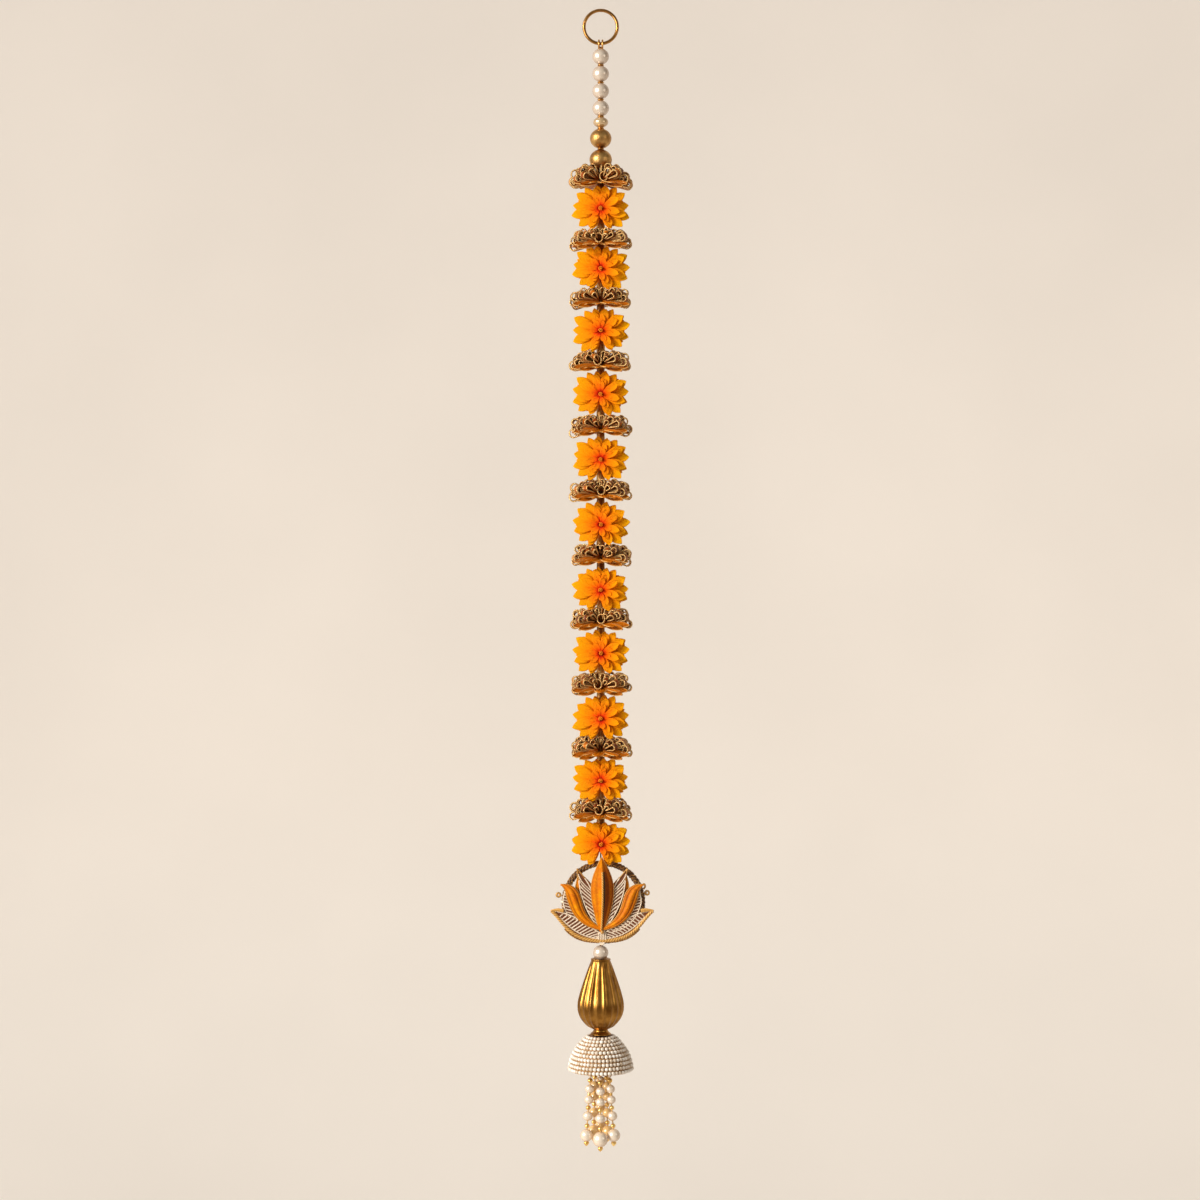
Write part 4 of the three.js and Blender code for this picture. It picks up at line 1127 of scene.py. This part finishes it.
def add_foot_fan(skin):
    """The small ribbed petal that points down."""
    fan = Leaf((LOTUS_AXIS, -732), (LOTUS_AXIS, -739), (LOTUS_AXIS, -746.2), 3.4, 0.6)
    add_leaf(skin, fan, SILVER_DEPTH, 0.9, 0.2, detail=(12, 15))
    for i in range(5):
        path = resampled(fan.at(np.linspace(0.12, 0.97, 10), (i - 2) / 2.3, SILVER_DEPTH - 1.3), 0.35)
        rope(skin, path, 0.52, 1.4, kind=1, count=8, bulge=0.14)


def make_silver_petals():
    skin = Skin()
    for mirrored in (False, True):
        outer = Leaf((6.5, -741.5), (-21.5, -736), (-33.5, -716.5), 6.6, 0.5, mirrored, hook=(-5.9, -1.7))
        add_bowl_petal(skin, outer, SILVER_DEPTH + (0.25 if mirrored else 0))
        add_flared_tip(skin, outer, SILVER_DEPTH)
        add_backing(skin, Leaf((0.2, -735.5), (-29.6, -724.8), (-16.0, -690.4), 8.6, 0.66, mirrored,
                               hook=(-14.8, -8.5)))
        inner = Leaf((0.2, -735), (-11.1, -708), (-15, -688), 4.7, 0.56, mirrored, hook=(-4, 3.2))
        add_striped_leaf(skin, inner, SILVER_DEPTH - 0.05)
    add_foot_fan(skin)
    piece("lotus_silver_thread", skin, "lotus_silver_petals", [GROUND, SILVER, GOLD_CORD])


def add_centre_petal(skin):
    """The tall keeled petal, with a gold cord on its keel and a near-black braid beside it whose dark colour
    paints the shadow there.
    """
    centre = Leaf((0.4, -735), (2.0, -704), (0.6, -675.2), 8.9, 0.55)
    puff, keel, lean, sheet = 0.6, 3.4, 5.5, 0.9

    def ridge(t):
        swell = centre.swell(t)
        return ORANGE_DEPTH - sheet - (puff * swell + keel * swell**2) - lean * t**3

    # Painted shade in the folds, along the borders and over the right half of this petal.
    add_leaf(skin, centre, ORANGE_DEPTH, sheet, puff, keel, groove=0.3, shade=0.6, lean=lean, painted_right_shade=0.85,
             detail=(44, 25))
    span = (0.02, 0.8)
    edge_rope(skin, centre, -0.04, lambda t: ridge(t) - 0.2, span, 0.85, 1.9, kind=2, count=12, bulge=0.3)
    # The near-black braid paints the shadow beside the keel.
    edge_rope(skin, centre, -0.2, lambda t: ridge(t) + 0.5, span, 0.75, 1.6, kind=3, bulge=0.3)
    add_piping(skin, centre, lambda t: ORANGE_DEPTH - 0.5 - lean * t**3, 0.04, kind=2)


def make_orange_petals():
    skin = Skin()
    add_centre_petal(skin)
    for mirrored in (False, True):
        leaf = Leaf((1.2, -733.1), (-28.7, -723.5), (-15.5, -688.4), 5.2, 0.72, mirrored, hook=(-16.6, -9))
        # Painted shade in the folds and along the borders.
        add_leaf(skin, leaf, ORANGE_DEPTH, 0.9, 0.9, keel=1.6, groove=0.8, shade=1.0, detail=(44, 25))
        add_piping(skin, leaf, ORANGE_DEPTH - 0.5, 0.03, kind=2)
    skin.bead((LOTUS_AXIS, ORANGE_DEPTH - 1.6, -735.2), 1.3, 1.5, 18, 12, kind=2, bore=0.3)
    piece("lotus_orange_satin", skin, "lotus_orange_petals",
          [SATIN, SILVER, GOLD_CORD, SHADOW_BRAID])


# Foot of the strand


def make_drop_wire():
    skin = Skin()
    band = frame_band_height(-1)
    add_wire(skin, band - FRAME["band"] - 0.95, KNOB["z"] + KNOB["half"])
    skin.hoop((0, 0, band), FRAME["band"] + 0.85, 28, "yz", 0.5, 8)
    skin.bead((0, 0, KNOB["z"] - 0.2), KNOB["radius"], KNOB["half"] + 0.1, 24, 14, bore=0.3)
    piece("drop_wire_twisted", skin, "drop_wire", [BRASS])


def make_fluted_drop():
    skin = Skin()
    top, bottom = DROP["top"], DROP["bottom"]
    height = top - bottom
    body = eased([(5.9, bottom), (11.4, bottom + 0.055 * height), (16.9, bottom + 0.18 * height),
                  (18.8, bottom + 0.33 * height), (17.0, bottom + 0.5 * height),
                  (12.2, bottom + 0.76 * height), (7.7, top - 1.4)], 12)

    def flutes(angle, z):
        fade = smooth(z, bottom - 1, bottom + 3) * (1 - 0.75 * smooth(z, top - 8, top - 1.4))
        return 1 - DROP["depth"] * np.abs(np.cos(angle[None] * DROP["flutes"] / 2)) ** 0.9 * fade

    lip = [(8.0, top - 0.9), (8.0, top - 0.3), (7.5, top), (6.4, top - 0.1), (5.2, top - 0.9),
           (3.4, top - 1.7), (BORE, top - 2.0), (BORE, bottom)]
    skin.turned(np.concatenate([body, lip]), 240, scale=flutes)
    piece("fluted_drop_polished", skin, "fluted_drop", [DROP_BRASS])


def make_collar():
    skin = Skin()
    top, bottom, neck, foot = (COLLAR[key] for key in ("top", "bottom", "neck", "foot"))
    outside = eased([(neck, top), (neck + 0.2, top - 0.9), (7.0, top - 2.2), (foot, bottom + 1.1),
                     (foot - 0.1, bottom + 0.3), (7.0, bottom)], 6)
    skin.turned(np.concatenate([[(BORE, top)], outside, [(BORE, bottom)]]), 64)
    piece("collar_polished", skin, "collar", [DROP_BRASS])


def dome_outline(inward):
    """(radius, height) down the dome, evenly spaced along its curve and moved inward, and its length."""
    share = np.linspace(0, 1, 200) ** 2
    radius = DOME["crown"] + (DOME["mouth"] - DOME["crown"]) * risen(share) ** DOME["round"]
    line = together(radius, DOME["top"] - share * (DOME["top"] - DOME["rim"]))
    length = lengths(line)[-1]
    line = spaced(line, 41)
    ahead = unit(np.gradient(line, axis=0))
    return line + inward * np.stack([ahead[:, 1], -ahead[:, 0]], -1), length


def add_bead_rows(skin, length):
    """Rows of seed beads round the dome, with a gold thread between one row and the next."""
    line, _ = dome_outline(0.9)
    even = np.linspace(0, 1, len(line))
    size = 0.485 * length / DOME_ROWS

    def down(row):
        return (float(np.interp(row / DOME_ROWS, even, column)) for column in line.T)

    for row in range(DOME_ROWS):
        radius, z = down(row + 0.5)
        count = round(TAU * radius / (1.86 * size))
        for i in range(count):
            turn = (i + 0.5 * (row % 2)) * TAU / count
            spot = (cos(turn) * radius, sin(turn) * radius, z)
            swell = size * (0.9 + 0.14 * chance(row + 40, i))
            skin.bead(spot, swell, swell * 0.95, 8, 6, draw=chance(row, i) ** 1.4, bore=0.25)
        if row < DOME_ROWS - 1:
            radius, z = down(row + 1)
            skin.hoop((0, 0, z), radius + 0.1, 120, "xy", 0.2, 6, kind=2)


def make_dome():
    skin = Skin()
    top, wall = DOME["top"], DOME["wall"]
    outside, length = dome_outline(1.0)
    inside, _ = dome_outline(1.0 + wall)
    inside[:, 1] = np.minimum(inside[:, 1], top - wall)
    outside[-1, 1] = inside[-1, 1] = DOME["rim"] + 0.4
    profile = np.concatenate([[(BORE, top - 0.4)], outside, inside[::-1], [(BORE, top - wall)]])
    skin.turned(profile, 96, kind=1)
    add_bead_rows(skin, length)
    skin.hoop((0, 0, DOME["rim"] + 0.35), DOME["mouth"] - 1.3, 120, "xy", 0.35, 6, kind=2)
    piece("dome_seed_beads", skin, "beaded_dome", [SEED, LINING, GOLD_CORD])


# Beads up a tassel strand from its end pearl: height, radius, and 0 for a pearl or 1 for a gold bead
STRAND_BEADS = [(2.4, 2.0, 1), (10.3, 4.0, 0), (16.9, 2.0, 1), (23.4, 3.7, 0), (27.7, 1.5, 1),
                (31.9, 3.7, 0), (38.7, 2.1, 1), (42.2, 1.5, 0), (45.4, 1.8, 1)]
# The gold tip below it: radius and depth
STRAND_TIP = [(0.4, -0.5), (1.6, -0.1), (2.1, 0.7), (2.0, 1.5), (1.2, 2.7), (0.15, 3.6)]


def make_strand(name, strand):
    shoulder, foot, end, pearl = strand
    shoulder, foot = np.array(shoulder), np.array(foot)
    start = shoulder / np.linalg.norm(shoulder) * 2.2
    top = KNOB["z"] - KNOB["half"] - GAP
    shoulder_z = DOME["rim"] + 4

    def offset(z):
        if z > shoulder_z:
            return shoulder + (start - shoulder) * (z - shoulder_z) / (top - shoulder_z)
        return foot + (shoulder - foot) * max((z - end) / (shoulder_z - end), 0)

    skin = Skin()
    heights = np.linspace(top, end, 26)
    skin.tube([(*offset(z), z) for z in heights], round_section(0.55, 7), kind=2)
    skin.bead((*offset(end), end), pearl, pearl, 36, 24, bore=0.6)
    for k, (up, radius, kind) in enumerate(STRAND_BEADS):
        z = end + pearl + up
        skin.bead((*offset(z), z), radius, radius * 0.95, 26, 16, kind, draw=chance(k, pearl), bore=0.5)
    tip = [(radius, end - pearl - depth) for radius, depth in STRAND_TIP]
    skin.turned(eased(tip, 4), 22, (*offset(end), 0), kind=1)
    # The back strands take the darker golden coat, a painted shade and reflection.
    coat = SHADED_BACK_COAT if name.startswith("back") else TASSEL_COAT
    piece(f"tassel_{name}_pearls", skin, f"tassel_{name}", [coat, GOLD_BEAD, THREAD])


# Stage, light and camera, in metres

STAGE = {"half": 60.0, "ground": -2.1, "wall": 4.6, "bend": 1.2, "top": 12.0}


def studio_paper():
    """Pale paper, browner toward the front."""
    paint = Paint("studio_paper", Roughness=0.9, Emission_Color=(240, 232, 222), Emission_Strength=0.19)
    pale = paint.ramp(paint.noise(1.2, 2), [(0.3, 226, 219, 211), (0.7, 232, 225, 217)])
    _, ahead, _ = paint.split(paint.place())
    far = paint.ramp(ahead * 0.25 + 1.0, [(0.3, 0), (0.85, 1)])
    paint.set(Base_Color=paint.mix(far, (126, 94, 66), pale))
    return paint.material


def make_stage():
    """A sweep of paper: floor, bend and wall."""
    half, ground, wall, bend, top = STAGE.values()
    turn = np.linspace(0, pi / 2, 14)
    line = [(wall - bend + sin(a) * bend, ground + bend - cos(a) * bend) for a in turn]
    rows = [[(x, y, z) for x in (-half, half)] for y, z in [(-half, ground), *line, (wall, top)]]
    skin = Skin()
    skin.grid(np.array(rows) / MM)
    meshed("studio_sweep", skin, [studio_paper()])


def add_light(name, kind, place, target, energy, shade, **settings):
    data = bpy.data.lights.new(name, kind)
    data.energy = energy
    data.color = shade
    for key, value in settings.items():
        setattr(data, key, value)
    lamp = add_object(name, data)
    lamp.location = place
    lamp.rotation_euler = (Vector(target) - Vector(place)).to_track_quat("-Z", "Y").to_euler()


def make_air():
    """Room light: pale above and brighter on the left, brown below."""
    world = bpy.data.worlds.new("studio_air")
    world.use_nodes = True
    air = Nodes(world.node_tree)
    right, _, up = air.split(air.output("Generated", "TexCoord", {}))
    level = air.ramp(up * 0.5 + 0.5, [(0, 92, 60, 34), (0.46, 150, 118, 88), (0.5, 190, 166, 140),
                                      (0.54, 214, 198, 178), (0.7, 248, 240, 228)])
    side = air.ramp(right * 0.5 + 0.5, [(0, 1), (0.5, 0.7), (1, 0.3)])
    background = world.node_tree.nodes["Background"].inputs
    air.fill(background["Color"], air.mix(1.0, level, side, "MULTIPLY"))
    air.fill(background["Strength"], 0.5)
    bpy.context.scene.world = world


def make_light():
    add_light("key_sun", "SUN", (-2.2, -1.5, 0.35), (0, 0, -0.45), 1.8, (1.0, 0.97, 0.92),
              angle=radians(6))
    add_light("soft_left", "AREA", (-1.7, -1.3, 0.0), (0, 0, -0.45), 44, (1.0, 0.975, 0.945), size=1.6)
    add_light("soft_right", "AREA", (1.9, -1.4, 0.1), (0, 0, -0.5), 7, (1.0, 0.92, 0.82), size=1.2)
    make_air()


def make_camera():
    data = bpy.data.cameras.new("photo_view")
    data.lens = 72.75
    data.sensor_width = 36
    data.clip_end = 60
    camera = add_object("photo_view", data)
    camera.location = (-0.00056, -1.94, -0.4704)
    camera.rotation_euler = (pi / 2, 0, 0)
    bpy.context.scene.camera = camera


make_camera()
make_ring()
make_stringing_wire()
make_head_beads()
make_flowers()
make_frame()
make_rear_petals()
make_silver_petals()
make_orange_petals()
make_drop_wire()
make_bead("drop_pearl", "lacquered", DROP_PEARL, (44, 30), PEARL_COAT)
make_fluted_drop()
make_collar()
make_dome()
for strand_name, strand_facts in STRANDS.items():
    make_strand(strand_name, strand_facts)
make_stage()
make_light()
bpy.context.scene.view_settings.view_transform = "Standard"

bpy.context.view_layer.update()
